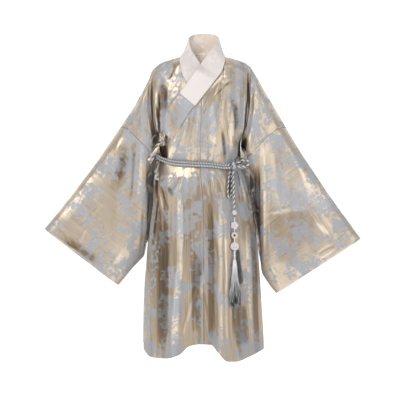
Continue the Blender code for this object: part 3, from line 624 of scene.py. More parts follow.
def clump(f, place, turn):
    """sqrt((along / long)^2 + (across / wide)^2): below 1 inside the clump that a place is nearest
    to."""
    bent = f.bent(place, 7.0, 0.09)
    middle, (luck, size, _) = cells(f, bent, CLUMP_EVERY, 0.8)
    along, across, _ = f.spun(f.vector("SUBTRACT", bent, middle), luck * 2.6 + turn)
    along, across = along / (size * 0.030 + CLUMP_LONG), across / (size * 0.014 + CLUMP_WIDE)
    return f.math("SQRT", along * along + across * across)


def flower(f, cloth, size, reach, depth, present, shift=(0, 0, 0)):
    """A point is in a blossom where its distance from the middle is below
    reach x (1 - depth + depth x |cos(5 x angle / 2)|). present(middle, luck) thins them out."""
    middle, (chance, _, _) = cells(f, f.vector("ADD", cloth, shift), size, 0.7)
    middle = f.vector("SUBTRACT", middle, shift)
    away = f.vector("SUBTRACT", cloth, middle)
    far = f.vector("LENGTH", away, output=1)
    across, up, _ = f.parts(away)
    angle = f.math("ARCTAN2", up, across)
    wave = f.math("ABSOLUTE", f.math("COSINE", angle * 2.5 + chance * 6.28))
    whole = reach * size
    edge = (wave * depth + (1 - depth)) * whole
    inside = f.step(edge - far, 0.0, WOVEN_EDGE)
    eye = f.step(far, EYE * whole, WOVEN_EDGE)
    middle_of_petals = f.step(PETALS_MEET * whole - far, 0, WOVEN_EDGE)
    tips = f.step(far, TIPS * whole, 1.5 * WOVEN_EDGE)
    vein = f.either(f.step(wave, 0.16, 0.03), middle_of_petals, tips)
    plain = f.step(chance, WITH_EYE, SOFT_CHOICE)
    veinless = f.step(VEINLESS - chance, 0, SOFT_CHOICE)
    return inside * present(middle, chance) * f.either(eye, plain) * f.either(vein, veinless)


def leaves(f, cloth, size, long, wide, present):
    """Leaves: |across| below wide x (1 - (along / long)^2), each with its own turn, and half of
    them only an outline."""
    middle, (luck, other, _) = cells(f, cloth, size, 0.85)
    along, across, _ = f.spun(f.vector("SUBTRACT", cloth, middle), luck * 6.28)
    along, across = along / (long * size), f.math("ABSOLUTE", across)
    room = (1 - along * along) * (wide * size)
    blade = f.step(room - across, 0.0, BLADE_EDGE)
    hollow = f.step(room * 0.55 - across, 0.0, BLADE_EDGE)
    hollow = hollow * f.step(other, FULL_LEAVES, SOFT_CHOICE)
    return f.math("SUBTRACT", blade, hollow, clamp=True) * present(middle, luck)


print("blossoms every", BLOSSOMS, "m and leaves every", LEAF_EVERY, "m")

# %% [markdown]
# The whole figure is the larger of all its parts at each place. Blossoms fill the clumps, smaller
# ones and the twigs lie in a wider ring round them, and a leaf grows only where a twig is near.


# %% The whole figure
def twig_lines(f, place):
    """How far a place is from the level line of a curling noise."""
    return f.math("ABSOLUTE", f.noise(f.bent(place, 9.0, 0.05), 21.0, 1.0) - 0.5)


def damask_figure(f, cover, turn):
    """1 where the figure is woven. cover widens the clumps, and turn is how most of them lie."""
    cloth = f.cloth()

    def in_clump(place, reach, soft=SOFT_CHOICE):
        return f.step(reach - clump(f, place, turn), 0.0, soft)

    def massed(middle, luck):
        return in_clump(middle, MASSED + cover)

    def fringe(middle, luck):
        return in_clump(middle, FRINGED + cover + luck * 0.7) * f.step(luck, 0.35, SOFT_CHOICE)

    def on_twig(middle, luck):
        near = f.step(LEAF_NEAR - twig_lines(f, middle), 0.0, 0.004)
        return near * in_clump(middle, LEAVED + cover) * f.step(luck, 0.3, SOFT_CHOICE)

    big = flower(f, cloth, BLOSSOMS["big"], 0.49, 0.36, massed)
    more = flower(f, cloth, BLOSSOMS["more"], 0.50, 0.42, massed, (0.351, 0.117, 0))
    small = flower(f, cloth, BLOSSOMS["small"], 0.47, 0.50, fringe, (0.113, 0.271, 0))
    core = in_clump(cloth, CORE + cover)
    leaf = leaves(f, cloth, LEAF_EVERY, 0.56, 0.26, on_twig)
    line = f.step(TWIG_HALF - twig_lines(f, cloth), 0.0, TWIG_EDGE)
    twig = line * in_clump(cloth, TWIGGED + cover, 2 * SOFT_CHOICE)
    return f.either(big, more, small, leaf, twig, core), cloth


print("figure: clumps about", CLUMP_EVERY, "m apart")

# %% [markdown]
# The ground's light and shade are painted into its colour, to show where a fold turns to the light.
# A value stored in each point of the cloth, high on a crest and low in a hollow, shifts the satin
# between a cream painted highlight and brown painted shade. Below 0 it goes on to nearly black,
# painted shade for the depth of a fold that light can't reach. Satin shows few in-between shades,
# because a facet of it reflects all over at once, so a share of the painted shade goes up in three
# steps. Slubs, the thick places of the yarn, draw long faint lines along the cloth.

# %% Satin, collar cloth, cord, jade and thread
# Painted light: the satin's colour under a painted highlight, under painted shade and in painted
# deep shade, and the figure's lit and shaded colours.
SATIN_LIT, SATIN_SHADED, IN_SHADOW = (0.82, 0.715, 0.585, 1), (0.25, 0.178, 0.108, 1), (0.04, 0.028, 0.018, 1)
FIGURE_LIT, FIGURE_SHADED = (0.46, 0.467, 0.497, 1), (0.27, 0.268, 0.278, 1)
PAINTED_FACET_STEPS = ((0.20, 0.26), (0.44, 0.26), (0.72, 0.32))  # where the painted shade steps up, and how far
FINE_WEAVE, SLUBS, HIGHLIGHT_STREAK_SCALE = (1500, 22, 1), (230, 5, 1), (48, 2.2, 1)  # fineness across and along
FIBRES = (300, 9, 1)  # the same for the fibres of a cord's yarn


def satin(name, cover=0.0, turn=0.6, painted_streaks=0.15, painted_facets=0.35):
    f = Finish(name, specular_ior_level=0.5)
    figure, cloth = damask_figure(f, cover, turn)
    tone = f.node("ShaderNodeAttribute", {"attribute_name": "tone"}, {}, "Fac")
    fine, slub, streak = (f.drawn_out(cloth, each) for each in (FINE_WEAVE, SLUBS, HIGHLIGHT_STREAK_SCALE))
    # Painted light and shade: the stored value and painted highlight stripes, stepped in three
    # painted steps of light, shift the ground between its lit and shaded colours.
    lit = f.math("MULTIPLY_ADD", tone, 1.25, -0.25) + (streak - 0.5) * painted_streaks
    first, second, third = (f.step(lit, at, 0.03) * rise for at, rise in PAINTED_FACET_STEPS)
    stepped = first + second + third
    flat = lit * (1 - painted_facets) + (stepped + 0.08) * painted_facets
    shade = f.math("ADD", flat, (slub - 0.5) * 0.40 + (fine - 0.5) * 0.3, clamp=True)
    woven = f.mix(figure, f.mix(shade, SATIN_SHADED, SATIN_LIT), f.mix(shade, FIGURE_SHADED, FIGURE_LIT))
    # Painted deep shade: below 0 the stored value takes the colour to nearly black.
    deep = f.math("MULTIPLY_ADD", tone, -3.7, 1.0, clamp=True)
    f.set(base_color=f.mix(deep, woven, IN_SHADOW))
    f.set(metallic=0.60 - figure * 0.52, roughness=0.30 + figure * 0.34 + (slub - 0.5) * 0.12)
    weft = f.node("ShaderNodeTexWave", {"bands_direction": "Y"}, {"Vector": cloth, "Scale": 320.0})
    height = figure * 0.5 + weft * 0.2 + fine * 0.5 + slub * 0.9
    f.set(normal=f.bump(height, 0.0004, 0.7))
    return f.material


def collar_cloth(name, dark, light, woven_in):
    f = Finish(name, roughness=0.72, sheen_weight=0.15, sheen_roughness=0.5)
    figure, cloth = damask_figure(f, 0.03, 0.3)
    along = f.parts(cloth)[0]
    woven = figure * f.step(along, 0.10, 0.02)
    fine = f.noise(cloth, 700.0, 2.0)
    f.set(base_color=f.mix(woven * 0.55, f.mix(fine, dark, light), woven_in))
    f.set(normal=f.bump(fine * 0.4 + woven * 0.6, 0.0002, 0.5))
    return f.material


def yarn(name, dark, light, roughness, metallic=0.0):
    """A thread: fine fibres drawn along the cord, read from the piece's own UV map."""
    f = Finish(name, metallic=metallic, sheen_weight=0.2, sheen_roughness=0.4)
    fibre = f.drawn_out(f.cloth(), FIBRES, 3.0)
    f.set(base_color=f.mix(fibre, dark, light), roughness=roughness + (fibre - 0.5) * 0.2)
    f.set(normal=f.bump(fibre, 0.0002, 0.5))
    return f.material


def jade(name):
    f = Finish(name, roughness=0.3, coat_roughness=0.15)
    f.set(subsurface_weight=0.12, subsurface_scale=0.003, subsurface_radius=(1.0, 0.9, 0.9))
    place = f.node("ShaderNodeTexCoord", {}, {}, "Object")
    cloud = f.noise(place, 90.0, 4.0)
    f.set(base_color=f.mix(cloud, (0.50, 0.45, 0.48, 1), (0.72, 0.68, 0.70, 1)), coat_weight=0.2)
    f.set(normal=f.bump(f.noise(place, 500.0, 2.0), 0.0002, 0.35))
    return f.material


def combed_thread(name, head, middle, foot):
    """Thread whose colour runs from the tassel's head to its foot, read from the UV map."""
    f = Finish(name, sheen_weight=0.3, sheen_roughness=0.35)
    each, down, _ = f.parts(f.cloth())
    luck = f.noise(f.node("ShaderNodeCombineXYZ", {}, {0: each * 2.6, 1: down * 1.1}), 3.0, 1.0)
    dyed = f.math("ADD", down, (luck - 0.5) * (0.5 + down * 3.0), clamp=True)
    upper = f.mix(f.math("MULTIPLY", dyed, 2.0, clamp=True), head, middle)
    f.set(base_color=f.mix(f.math("MULTIPLY_ADD", dyed, 2.0, -1.0, clamp=True), upper, foot))
    f.set(roughness=0.42 + luck * 0.1)
    return f.material


print("kinds of finish: satin, collar cloth, yarn, jade and combed thread")

# %% [markdown]
# Each part of the robe has its own weight of figure and of painted shade. The body shows its folds
# by long painted highlight stripes and painted steps of light, the collar's strip is woven more
# densely, and the ties are nearly plain.

# %% The robe's own finishes
SATIN = satin("satin damask", cover=-0.07)
PANEL_SATIN = satin("satin damask of the body", cover=-0.06, painted_streaks=0.75, painted_facets=0.65)
BAND_SATIN = satin("satin damask of the collar", cover=0.13, turn=1.2)
TIE_SATIN = satin("satin damask of the ties", cover=-0.75, turn=0.2)
WHITE = collar_cloth(
    "white collar cloth", (0.69, 0.635, 0.62, 1), (0.76, 0.705, 0.69, 1), (0.62, 0.57, 0.555, 1)
)
# The lining is the inside's own cream colour, made lighter than the outer cloth: painted light that
# lifts the shaded inside of the collar and the neck facing.
LINING_WITH_PAINTED_LIGHT = collar_cloth(
    "collar lining", (0.88, 0.78, 0.70, 1), (0.96, 0.87, 0.79, 1), (0.72, 0.62, 0.53, 1)
)
# The shaded yarn is the silver yarn darkened: painted shade for a cord that lies in shadow.
SILVER, SHADED, CHARCOAL, PALE = (
    yarn(f"{name} cord yarn", (*dark, 1), (*light, 1), roughness, metallic)
    for name, dark, light, roughness, metallic in (
        ("silver", (0.40, 0.41, 0.43), (0.80, 0.81, 0.83), 0.42, 0.25),
        ("shaded", (0.14, 0.14, 0.15), (0.34, 0.34, 0.36), 0.5, 0.1),
        ("charcoal", (0.020, 0.021, 0.023), (0.10, 0.10, 0.11), 0.5, 0.1),
        ("pale", (0.60, 0.59, 0.60), (0.88, 0.87, 0.88), 0.5, 0.0),
    )
)
JADE = jade("pale jade")
FRONT_THREAD = combed_thread(
    "front tassel", (0.80, 0.80, 0.81, 1), (0.36, 0.37, 0.38, 1), (0.03, 0.032, 0.036, 1)
)
BACK_THREAD = combed_thread(
    "back tassel", (0.12, 0.13, 0.14, 1), (0.07, 0.075, 0.08, 1), (0.16, 0.17, 0.18, 1)
)
print("nodes in the satin:", len(SATIN.node_tree.nodes), "in the jade:", len(JADE.node_tree.nodes))

# %% [markdown]
# ## Belt and hanging cords
# A twisted cord is two or three yarns that wind round each other. Each yarn is a tube whose
# middle runs round the cord's own line at an even pitch, so the twist is geometry and catches the
# light as real cord does. Two cords lie side by side round the waist with opposite twists, and so
# their turns meet in small arrows. What hangs in front lies just clear of the skirt.

# %% Routes
CORD = 0.009
BELT_SINK = 0.0019  # how deep the belt presses into the cloth
HANG_CLEAR = 0.0018  # how far in front of the skirt things hang
PENDANT_X = 0.122
TAIL_Z = -0.7995
LAY = 0.0018  # metres from point to point along a cord
KNOT = Vector((0.118, 0, -0.4378))
KNOT_HALF = Vector((0.016, 0.014, 0.018))


def hang(x, z, thick):
    """A depth in front of the skirt, clear of it by half a thickness."""
    nearest = min(cloth_at(x + side, z, -1, OUTER_LAYER)[1] for side in (-0.014, 0, 0.014))
    return nearest - thick / 2 - HANG_CLEAR


KNOT.y = hang(KNOT.x, KNOT.z, 2 * KNOT_HALF.y) - BELT_PINCH


def on_ball(centre, half, direction, gap=0.0005):
    """The point just outside a ball with three different half sizes, in a direction."""
    direction = Vector(direction)
    scale = math.sqrt(sum((d / h) ** 2 for d, h in zip(direction, half)))
    return np.array(centre + direction / scale + direction.normalized() * gap)


def run_of(path):
    """The length of a path from its start to each of its points."""
    return np.concatenate([[0], np.cumsum(np.linalg.norm(np.diff(path, axis=0), axis=1))])


def length_of(path):
    return float(run_of(path)[-1])


def along(points, spacing):
    """Points an even step apart on the smooth curve through a few points."""
    points = np.array(points, float)
    run = run_of(points)
    at = np.linspace(0, run[-1], max(8, int(run[-1] / spacing)))
    return curve_through(run, points, at)


def beside(point, *offsets):
    """Points at these offsets, in millimetres, from a point."""
    return list(np.array(point) + np.array(offsets) / 1000)


bent = along([(0, 0, 0), (0.1, 0, 0.02), (0.2, 0, 0)], LAY)
print("a bent path over 0.2 m:", round(length_of(bent), 4), "m long, with", len(bent), "points")


# %% Twisted cord
def unit(vectors):
    return vectors / np.maximum(np.linalg.norm(vectors, axis=-1, keepdims=True), 1e-12)


def rope(name, path, width, yarns, pitch, facing, hand=1, sides=7):
    """Yarn i's middle is the path plus rho (cos a, sin a) across it, where
    a = 2 pi (length / pitch + i / n), and each yarn is a round tube. rho + the yarn's radius is
    half the width, which may vary."""
    count = len(yarns)
    half = np.broadcast_to(width, len(path)) / 2
    radius = (half / (1 + 1 / math.sin(math.pi / count)))[:, None, None]
    rho = half[:, None] - radius[..., 0]
    line = unit(np.gradient(path, axis=0))
    side = unit(np.cross(line, np.broadcast_to(facing, line.shape)))
    up = np.cross(side, line)
    run = run_of(path)
    a = hand * 2 * math.pi * run[None, :] / pitch + 2 * math.pi * np.arange(count)[:, None] / count
    out = np.cos(a)[..., None] * side + np.sin(a)[..., None] * up
    middle = path + rho * out
    yarn_line = unit(np.gradient(middle, axis=1))
    over = np.cross(yarn_line, out)
    b = full_turn(sides)
    ring = np.cos(b)[:, None] * out[:, :, None, :] + np.sin(b)[:, None] * over[:, :, None, :]
    points = middle[:, :, None, :] + radius * ring
    size = len(path) * sides
    quads = lattice(count, len(path), sides, joined_columns=True)[:, ::-1]
    first = np.arange(sides) + size * np.arange(count)[:, None]
    caps = np.concatenate([first[:, ::-1], first + size - sides])
    across = np.broadcast_to(radius[..., 0] * b, (count, len(path), sides))
    uv = np.stack([across, np.broadcast_to(run[None, :, None], across.shape)], axis=-1)
    obj = build(name, points, quads, yarns[0], caps, uv)
    for other in yarns[1:]:
        obj.data.materials.append(other)
    per_yarn = len(quads) // count
    slots = np.concatenate([np.repeat(np.arange(count), per_yarn), np.tile(np.arange(count), 2)])
    obj.data.polygons.foreach_set("material_index", slots.astype(np.int32))
    return obj


yarn_radius = CORD / 2 / (1 + 1 / math.sin(math.pi / 3))
print("radius of each of the belt's three yarns:", round(yarn_radius, 4), "m")


# %% Belt
def belt_route(lift):
    """Round the waist from one side of the knot to the other, on the cloth's own surface."""
    shift = lift * (CORD / 2 + 2 * SEAM)
    start = on_ball(KNOT, KNOT_HALF, (-1, 0.1, 0.3 * lift), 0.0024)
    start[2] = KNOT.z - 0.0035 + shift
    route = [start + (0.006, 0, 0), start, start - (0.010, 0, 0)]
    for angle in np.concatenate([np.arange(60, 351, 5), np.arange(356, 381, 6)]):
        face = -1 if angle <= 180 or angle > 360 else 1
        q = angle if angle <= 180 else 360 - angle
        q = angle - 360 if angle > 360 else q
        out = read_round(BELT, "out", angle) + CORD / 2 - BELT_SINK
        point = body(q, belt_height(angle), face, out + BELT_PINCH)
        route.append(point + np.array([0, 0, shift]))
    end = on_ball(KNOT, KNOT_HALF, (1, 0.5, 0.3 * lift), 0.0018)
    end[2] = KNOT.z + shift
    route += beside(end, (7.5, 18, 0), (5, 6.5, 0), (0, 0, 0), (-6, 0, 0))
    return np.array(route)


# The second twist, of charcoal and shaded yarn, is painted shade for the bow's back loop, which
# lies in the shadow behind the bow.
TWIST, SHADOWED_TWIST = [SILVER, CHARCOAL, SILVER], [CHARCOAL, SHADED, CHARCOAL]
for name, lift in (("belt_cord_upper", 1), ("belt_cord_lower", -1)):
    path = along(belt_route(lift), 0.0012)
    cord = rope("twisted_" + name, path, CORD, TWIST, 0.011, (0, 0, 1.0), hand=lift, sides=6)
    settle(cord, "cord", name)
    print(cord.name, "length", round(length_of(path), 3))

# %% [markdown]
# The bow and the end loop leave the knot and come back to it. The ornament string leaves it, runs
# through a small knot and three stones and ends knotted in a tassel. They are free cords, and the
# length of each is printed.

# %% Bow, end loop and string
bow_route = [
    on_ball(KNOT, KNOT_HALF, (0.9, -0.8, 0.7), 0.0016),
    *beside(
        KNOT, (25, -17.5, 15), (38.5, -19, 20.8), (52, -18, 19.5), (60, -16, 11.5), (56.5, -16, 1),
        (43, -17.5, -4.8), (28, -18.5, -4.5),
    ),
    on_ball(KNOT, KNOT_HALF, (0.9, -0.9, -0.25), 0.0016),
]
LOOP_DOWN = in_mm(
    "x z",
    (103.5, -470), (99.5, -496), (97, -524), (96.2, -545), (98.2, -558), (103.5, -562.8),
    (108.8, -557), (110.6, -543), (110.8, -520), (110.6, -496), (111.8, -476),
)
loop_route = [on_ball(KNOT, KNOT_HALF, (-0.70, 0.0, -0.9), 0.0030)]
for px, height in zip(*LOOP_DOWN.values()):
    loop_route.append((px, hang(0.104, height, 0.008), height))
loop_route.append(on_ball(KNOT, KNOT_HALF, (-0.10, 0.30, -1), 0.0030))
BLOSSOM_Z, RING_Z, DISC_Z, BEADS_BELOW = -0.6700, -0.7085, -0.7505, -0.628
BLOSSOM_R, RING_R, DISC_R = 0.0156, 0.0125, 0.0168
STONE, THREADED_DEPTH = 0.007, 0.040
STRING_DOWN = in_mm(
    "x z ahead",
    (117.8, -470, 8.5), (117.4, -490, 7.5), (118.8, -515, 3.5), (119.8, -545, 0.5),
    (120.2, -580, 0),
)
string_route = [on_ball(KNOT, KNOT_HALF, (0.05, -0.45, -1), 0.0027)]
for px, height, ahead in zip(*STRING_DOWN.values()):
    string_route.append((px, hang(0.111, height, 0.010) - ahead, height))
string_route.append((PENDANT_X, hang(PENDANT_X, -0.6101, 0.010), -0.6101))
for height in np.linspace(-0.625, TAIL_Z - THREADED_DEPTH, 16):
    string_route.append((PENDANT_X, hang(PENDANT_X, height, STONE), height))
STRING_WIDTH = table(
    "z wide",
    (-0.845, 0.005), (TAIL_Z - 0.002, 0.006), (TAIL_Z + 0.002, 0.008),
    (DISC_Z - DISC_R - 0.003, 0.008), (DISC_Z - DISC_R + 0.002, 0.0042),
    (DISC_Z + DISC_R - 0.002, 0.0042), (DISC_Z + DISC_R + 0.001, 0.005),
    (RING_Z - 0.7 * RING_R, 0.0034), (RING_Z + 0.7 * RING_R, 0.0034),
    (BLOSSOM_Z - BLOSSOM_R, 0.005), (BLOSSOM_Z, 0.0042), (BLOSSOM_Z + BLOSSOM_R, 0.005),
    (-0.629, 0.005), (-0.623, 0.004), (-0.613, 0.006), (-0.606, 0.0085), (-0.4, 0.0085),
)
print("rows on the routes:", len(bow_route), len(loop_route), len(string_route))

# %% Twisting the free cords
BACK_LOOP = in_mm(
    "x y z",
    (121, -4, -433), (124, -7, -420), (128.5, -9, -409), (134.5, -10, -406.2), (144, -10, -410.8),
    (153, -10, -415), (156, -8, -420), (148, -6, -426), (133, -4, -433),
)
back_path = along([(x, KNOT.y + y, z) for x, y, z in zip(*BACK_LOOP.values())], LAY)
back_loop = rope("back_loop_of_bow", back_path, 0.0078, SHADOWED_TWIST, 0.013, (0, -1.0, 0.15))
settle(back_loop, "cord", "belt_bow")

FREE_CORDS = {}
for name, route, width in (
    ("belt_bow", bow_route, 0.008),
    ("belt_end_loop", loop_route, 0.007),
    ("pendant_cord", string_route, 0.0085),
):
    path = along(route, LAY)
    wide = width
    if name == "pendant_cord":
        height = path[:, 2]
        beads = 0.0013 * np.sin(height * 2 * math.pi / 0.0105) * (height < BEADS_BELOW)
        wide = np.interp(height, STRING_WIDTH["z"], STRING_WIDTH["wide"]) + beads
    cord = rope("twisted_" + name, path, wide, TWIST, 0.019, (0, -1.0, 0.15), hand=-1)
    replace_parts(cord, name)
    FREE_CORDS[name] = (cord, path, width)
    print(cord.name, "length", round(length_of(path), 3))

# %% [markdown]
# ## Folds
# Cloth folds where it is pulled or where there is too much of it, and each fold is a long, soft,
# slightly bent stroke that fades at both ends. So a fold is a row in a table: where it starts and
# ends, how far it bends, its width, and how far it rises, or sinks where that is negative. The
# same kind of stroke paints light and shade into the satin's colour, a cream painted highlight on
# a crest and brown painted shade in a hollow, and then its rise is in thousandths of that painted
# light and shade.


# %% Strokes
ONE_SIDE, OTHER_SIDE = 0.42, 1.15  # how wide a fold is on its two sides
FADED, FADE_OVER = 0.25, 0.25  # what is left of a fold at its ends, and where it is full


def strokes(x, z, rows, power=1.0):
    """Sum over the rows of rise x fade x exp(-(distance / wide)^(2 power)), the distance measured
    from a line that bends sideways by bend x 4t(1 - t). A fold is nearly three times as steep on
    one side as on the other, and neighbours in a table are steep on opposite sides."""
    total = np.zeros_like(x)
    for k, (x0, z0, x1, z1, bend, wide, rise) in enumerate(zip(*rows.values())):
        dx, dz = x1 - x0, z1 - z0
        length = math.hypot(dx, dz)
        t = ((x - x0) * dx + (z - z0) * dz) / length**2
        inside = np.clip(t, 0, 1)
        off = ((z - z0) * dx - (x - x0) * dz) / length - bend * 4 * inside * (1 - inside)
        beyond = (t - inside) * length
        full = ease(inside / FADE_OVER) * ease((1 - inside) / FADE_OVER)
        fade = FADED + (1 - FADED) * full
        steep = off * (-1 if k % 2 else 1) < 0
        off = np.where(steep, off / ONE_SIDE, off / OTHER_SIDE)
        total += rise * fade * np.exp(-(((off**2 + beyond**2) / wide**2) ** power))
    return total


STROKE = "x0 z0 x1 z1 bend wide rise"
one_fold = in_mm(STROKE, (0, 0, 0, -100, 0, 5, 3))
middle_of_it = strokes(np.array([0.0]), np.array([-0.05]), one_fold)
print("height of a 3 mm fold at its middle:", np.round(middle_of_it, 4), "m")

# %% Folds of the body
FRONT_FOLDS = in_mm(
    STROKE,
    (-175, -66, -125, -128, 4, 6, 4), (-156, -105, -148, -230, 0, 16, -3.5),
    (-115, -39, -138, -101, 4, 4.5, -4.5), (-94, -43, -117, -121, 3, 5, 3),
    (-191, -136, -183, -307, 0, 5, 4), (-177, -152, -172, -315, 0, 4.5, -6),
    (-205, -97, -203, -300, 0, 4.5, -5), (-125, -350, -144, -447, 0, 8, 2),
    (-59, -245, -101, -377, 4, 8, 2.5), (93, -86, 19, -152, -6, 4.5, 3.5),
    (74, -70, 27, -121, -4, 3.5, -2.5), (105, -109, 42, -163, -5, 4, -3),
    (109, -167, 128, -315, 6, 7, -4.5), (144, -136, 136, -292, 0, 8, 3),
    (93, -249, 113, -385, 3, 5.5, 4), (72, -284, 89, -424, 4, 5.5, -4),
    (165, -152, 155, -362, 0, 6, 3.5), (179, -82, 183, -230, 0, 4.5, -6),
    (183, -230, 155, -370, 0, 4.5, -6), (39, -175, 42, -385, 3, 9, 2.2),
    (7, -167, 6, -385, 1, 3, 1.8), (89, -35, 167, -74, 3, 7, 2.5), (113, -16, 186, -54, 3, 4, -2.5),
    (-66, -12, -156, -51, 3, 6, 2), (-105, -467, -140, -521, 3, 4.5, 4.2),
    (-86, -479, -125, -537, 3, 4.5, -4.8), (-82, -479, -101, -553, 4, 6.5, 4.5),
    (-59, -467, -63, -549, 2, 4, 2.2), (-164, -521, -137, -611, -2, 2.8, -5),
    (-179, -502, -156, -626, 0, 6, 2.2), (132, -463, 167, -580, 4, 5.5, 4.2),
    (151, -459, 190, -634, 4, 5.5, -3.5), (128, -479, 144, -580, 2, 3.5, -3.5),
    (-86, -533, -86, -790, 2, 9, 3.2), (-86, -767, -125, -1187, -4, 11, 4),
    (-55, -572, -43, -961, 0, 9, -2.2), (-156, -619, -156, -1163, 3, 13, -3),
    (-195, -572, -207, -1156, 0, 9, 2.2), (68, -486, 70, -1163, 2, 7.5, 4),
    (87, -533, 93, -1187, -2, 4.5, 3), (35, -556, 42, -1156, 0, 9, -3.5),
    (109, -572, 116, -1156, 3, 6.5, -2.8), (-4, -852, -90, -1132, -6, 7, 3.8),
    (4, -805, -24, -1086, -4, 8, -3.2), (171, -681, 183, -1140, 3, 11, 3.2),
    (144, -786, 144, -1171, 0, 10, -2.6), (-28, -447, -35, -572, 2, 6, 2),
    (42, -447, 54, -588, -2, 5, 2.4), (23, -447, 27, -556, 0, 4, -2.2),
    (97, -451, 89, -572, 2, 5, -2.4),
)
BACK_FOLDS = in_mm(
    STROKE,
    (-120, -50, -150, -210, 4, 8, 3), (-85, -45, -105, -180, 3, 6, -2.8),
    (-175, -90, -168, -300, 0, 6, -4.5), (128, -55, 156, -225, -4, 8, 3),
    (92, -48, 110, -170, -3, 6, -2.6), (176, -95, 170, -305, 0, 6, -4.5),
    (-50, -120, -62, -400, 4, 10, 2.2), (44, -140, 58, -400, -4, 10, 2.2),
    (12, -180, 20, -390, 0, 7, -1.8), (-20, -200, -16, -390, 0, 7, -1.8),
    (-110, -270, -88, -410, 0, 6, -3.2), (-128, -280, -112, -400, 0, 6, 3),
    (115, -265, 94, -415, 0, 6, -3.2), (134, -285, 118, -405, 0, 6, 3),
    (-88, -440, -118, -600, 3, 5, 3.8), (-70, -445, -86, -570, 2, 5, -3.6),
    (-36, -450, -40, -580, 0, 5, 2.6), (30, -452, 42, -590, 0, 5, 3),
    (56, -448, 80, -600, -3, 5, -3.6), (82, -446, 118, -620, -3, 6, 3.8),
    (-124, -520, -150, -1150, 3, 11, 3.6), (-96, -560, -104, -1150, 0, 10, -3.2),
    (-48, -520, -46, -1160, 0, 10, 3.6), (-14, -560, -20, -1140, 0, 8, -2.6),
    (36, -560, 50, -1160, 0, 11, 3.4), (74, -600, 82, -1160, 0, 9, -3),
    (120, -520, 150, -1160, -3, 11, 3.8), (170, -640, 186, -1150, 0, 9, -2.6),
    (-176, -600, -194, -1150, 0, 9, -2.6),
)
print("folds in front:", len(FRONT_FOLDS["x0"]), "and at the back:", len(BACK_FOLDS["x0"]))

# %% Painted light and shade of the body
# Painted highlights and painted shade on the body's satin: cream strokes on crests, brown in
# hollows, and near-black painted shadow where the sleeves, the armholes and the ties meet it.
FRONT_PAINTED_LIGHT = in_mm(
    STROKE,
    (-175, -66, -129, -128, 4, 6, 550), (-144, -113, -148, -230, 0, 26, -550),
    (-113, -39, -137, -101, 4, 5, -600), (-94, -43, -117, -117, 3, 6, 400),
    (-187, -136, -183, -300, 0, 5, 600), (-173, -160, -168, -315, 0, 6, -900),
    (-205, -105, -203, -300, 0, 6, -900), (-84, -560, -86, -790, 2, 15, 700),
    (-87, -760, -118, -1163, -6, 16, 600), (-146, -626, -150, -1156, 3, 26, -600),
    (62, -575, 62, -1180, 1, 9, 850), (34, -590, 36, -1150, 0, 14, -500),
    (-30, -770, -36, -1058, 0, 24, -550), (-29, -1015, 1, -840, 0, 9, 500),
    (84, -620, 90, -1100, 0, 5, 450), (200, -640, 214, -1150, 0, 16, -450),
    (120, -961, 144, -1148, 0, 35, -400), (167, -697, 183, -961, 3, 26, 300),
    (-121, -475, -140, -518, 2, 5, 500), (-82, -486, -105, -549, 3, 10, 650),
    (-140, -521, -121, -556, 0, 10, -600), (-164, -521, -137, -611, -2, 4, -900),
    (120, -187, 128, -300, 4, 10, -600), (77, -304, 89, -409, 3, 8, -550),
    (101, -261, 116, -377, 3, 7, 450), (179, -97, 183, -230, 0, 6, -1000),
    (183, -230, 155, -370, 0, 7, -1000), (31, -175, 42, -377, 3, 16, 300),
    (-109, -319, -144, -436, 4, 12, 350), (-168, -331, -175, -416, 0, 12, -500),
    (-12, -183, -51, -377, 0, 14, 250), (89, -90, 27, -148, -5, 5, 500),
    (109, -109, 50, -163, -5, 5, -500), (151, -479, 175, -588, 3, 10, 400),
    (101, -463, 97, -572, 0, 8, -500), (179, -66, 177, -120, 0, 3, -900),
    (177, -110, 173, -190, 0, 4.5, -1700), (173, -180, 164, -290, 1, 5, -1700),
    (165, -280, 149, -350, 0, 6, -1700), (152, -335, 145, -410, 0, 9, -1700),
    (-186, -195, -174, -310, 0, 4, -1600), (-180, -300, -170, -350, 0, 5, -1300),
    (-176, -350, -158, -405, 0, 7, -1500), (-162, -398, -138, -418, 0, 4, -1000),
    (-160, -345, -150, -412, 0, 10, -1300), (-142, -350, -136, -412, 0, 8, -700),
    (-150, -305, -146, -340, 0, 8, -900), (-182, -430, -178, -560, 0, 8, -1300),
    (-176, -560, -196, -740, 0, 6, -800), (112, -452, 106, -520, 0, 3.5, -900),
    (128, -452, 142, -520, 3, 3, -900),
)
BACK_PAINTED_LIGHT = in_mm(
    STROKE,
    (-160, -120, -150, -300, 0, 22, -500), (160, -120, 150, -300, 0, 22, -500),
    (-124, -520, -150, -1150, 3, 16, 500), (120, -520, 150, -1160, -3, 16, 500),
    (-48, -520, -46, -1160, 0, 12, 400), (36, -560, 50, -1160, 0, 12, 400),
    (-90, -560, -100, -1150, 0, 16, -450), (74, -600, 82, -1160, 0, 16, -450),
    (-50, -120, -62, -400, 4, 14, 350), (44, -140, 58, -400, -4, 14, 350),
)
print("strokes of tone:", len(FRONT_PAINTED_LIGHT["x0"]) + len(BACK_PAINTED_LIGHT["x0"]))


# %% [markdown]
# Between the named folds the cloth is never quite flat: shallow waves run down it, and a seam
# draws it in along its edge. Both are added in the same place, along the surface's normal.


# %% From a plain surface to cloth
WALL = 0.0016  # thickness of the satin
SEAM_DIP, SEAM_REACH = 0.0007, 0.0030
DRIFT_HIGH, LONG_WAVE, SHORT_WAVE = 0.0007, 0.047, 0.026
RELIEF_PAINTED_LIGHT = 60  # painted highlight: how much brighter a metre of height would paint the satin


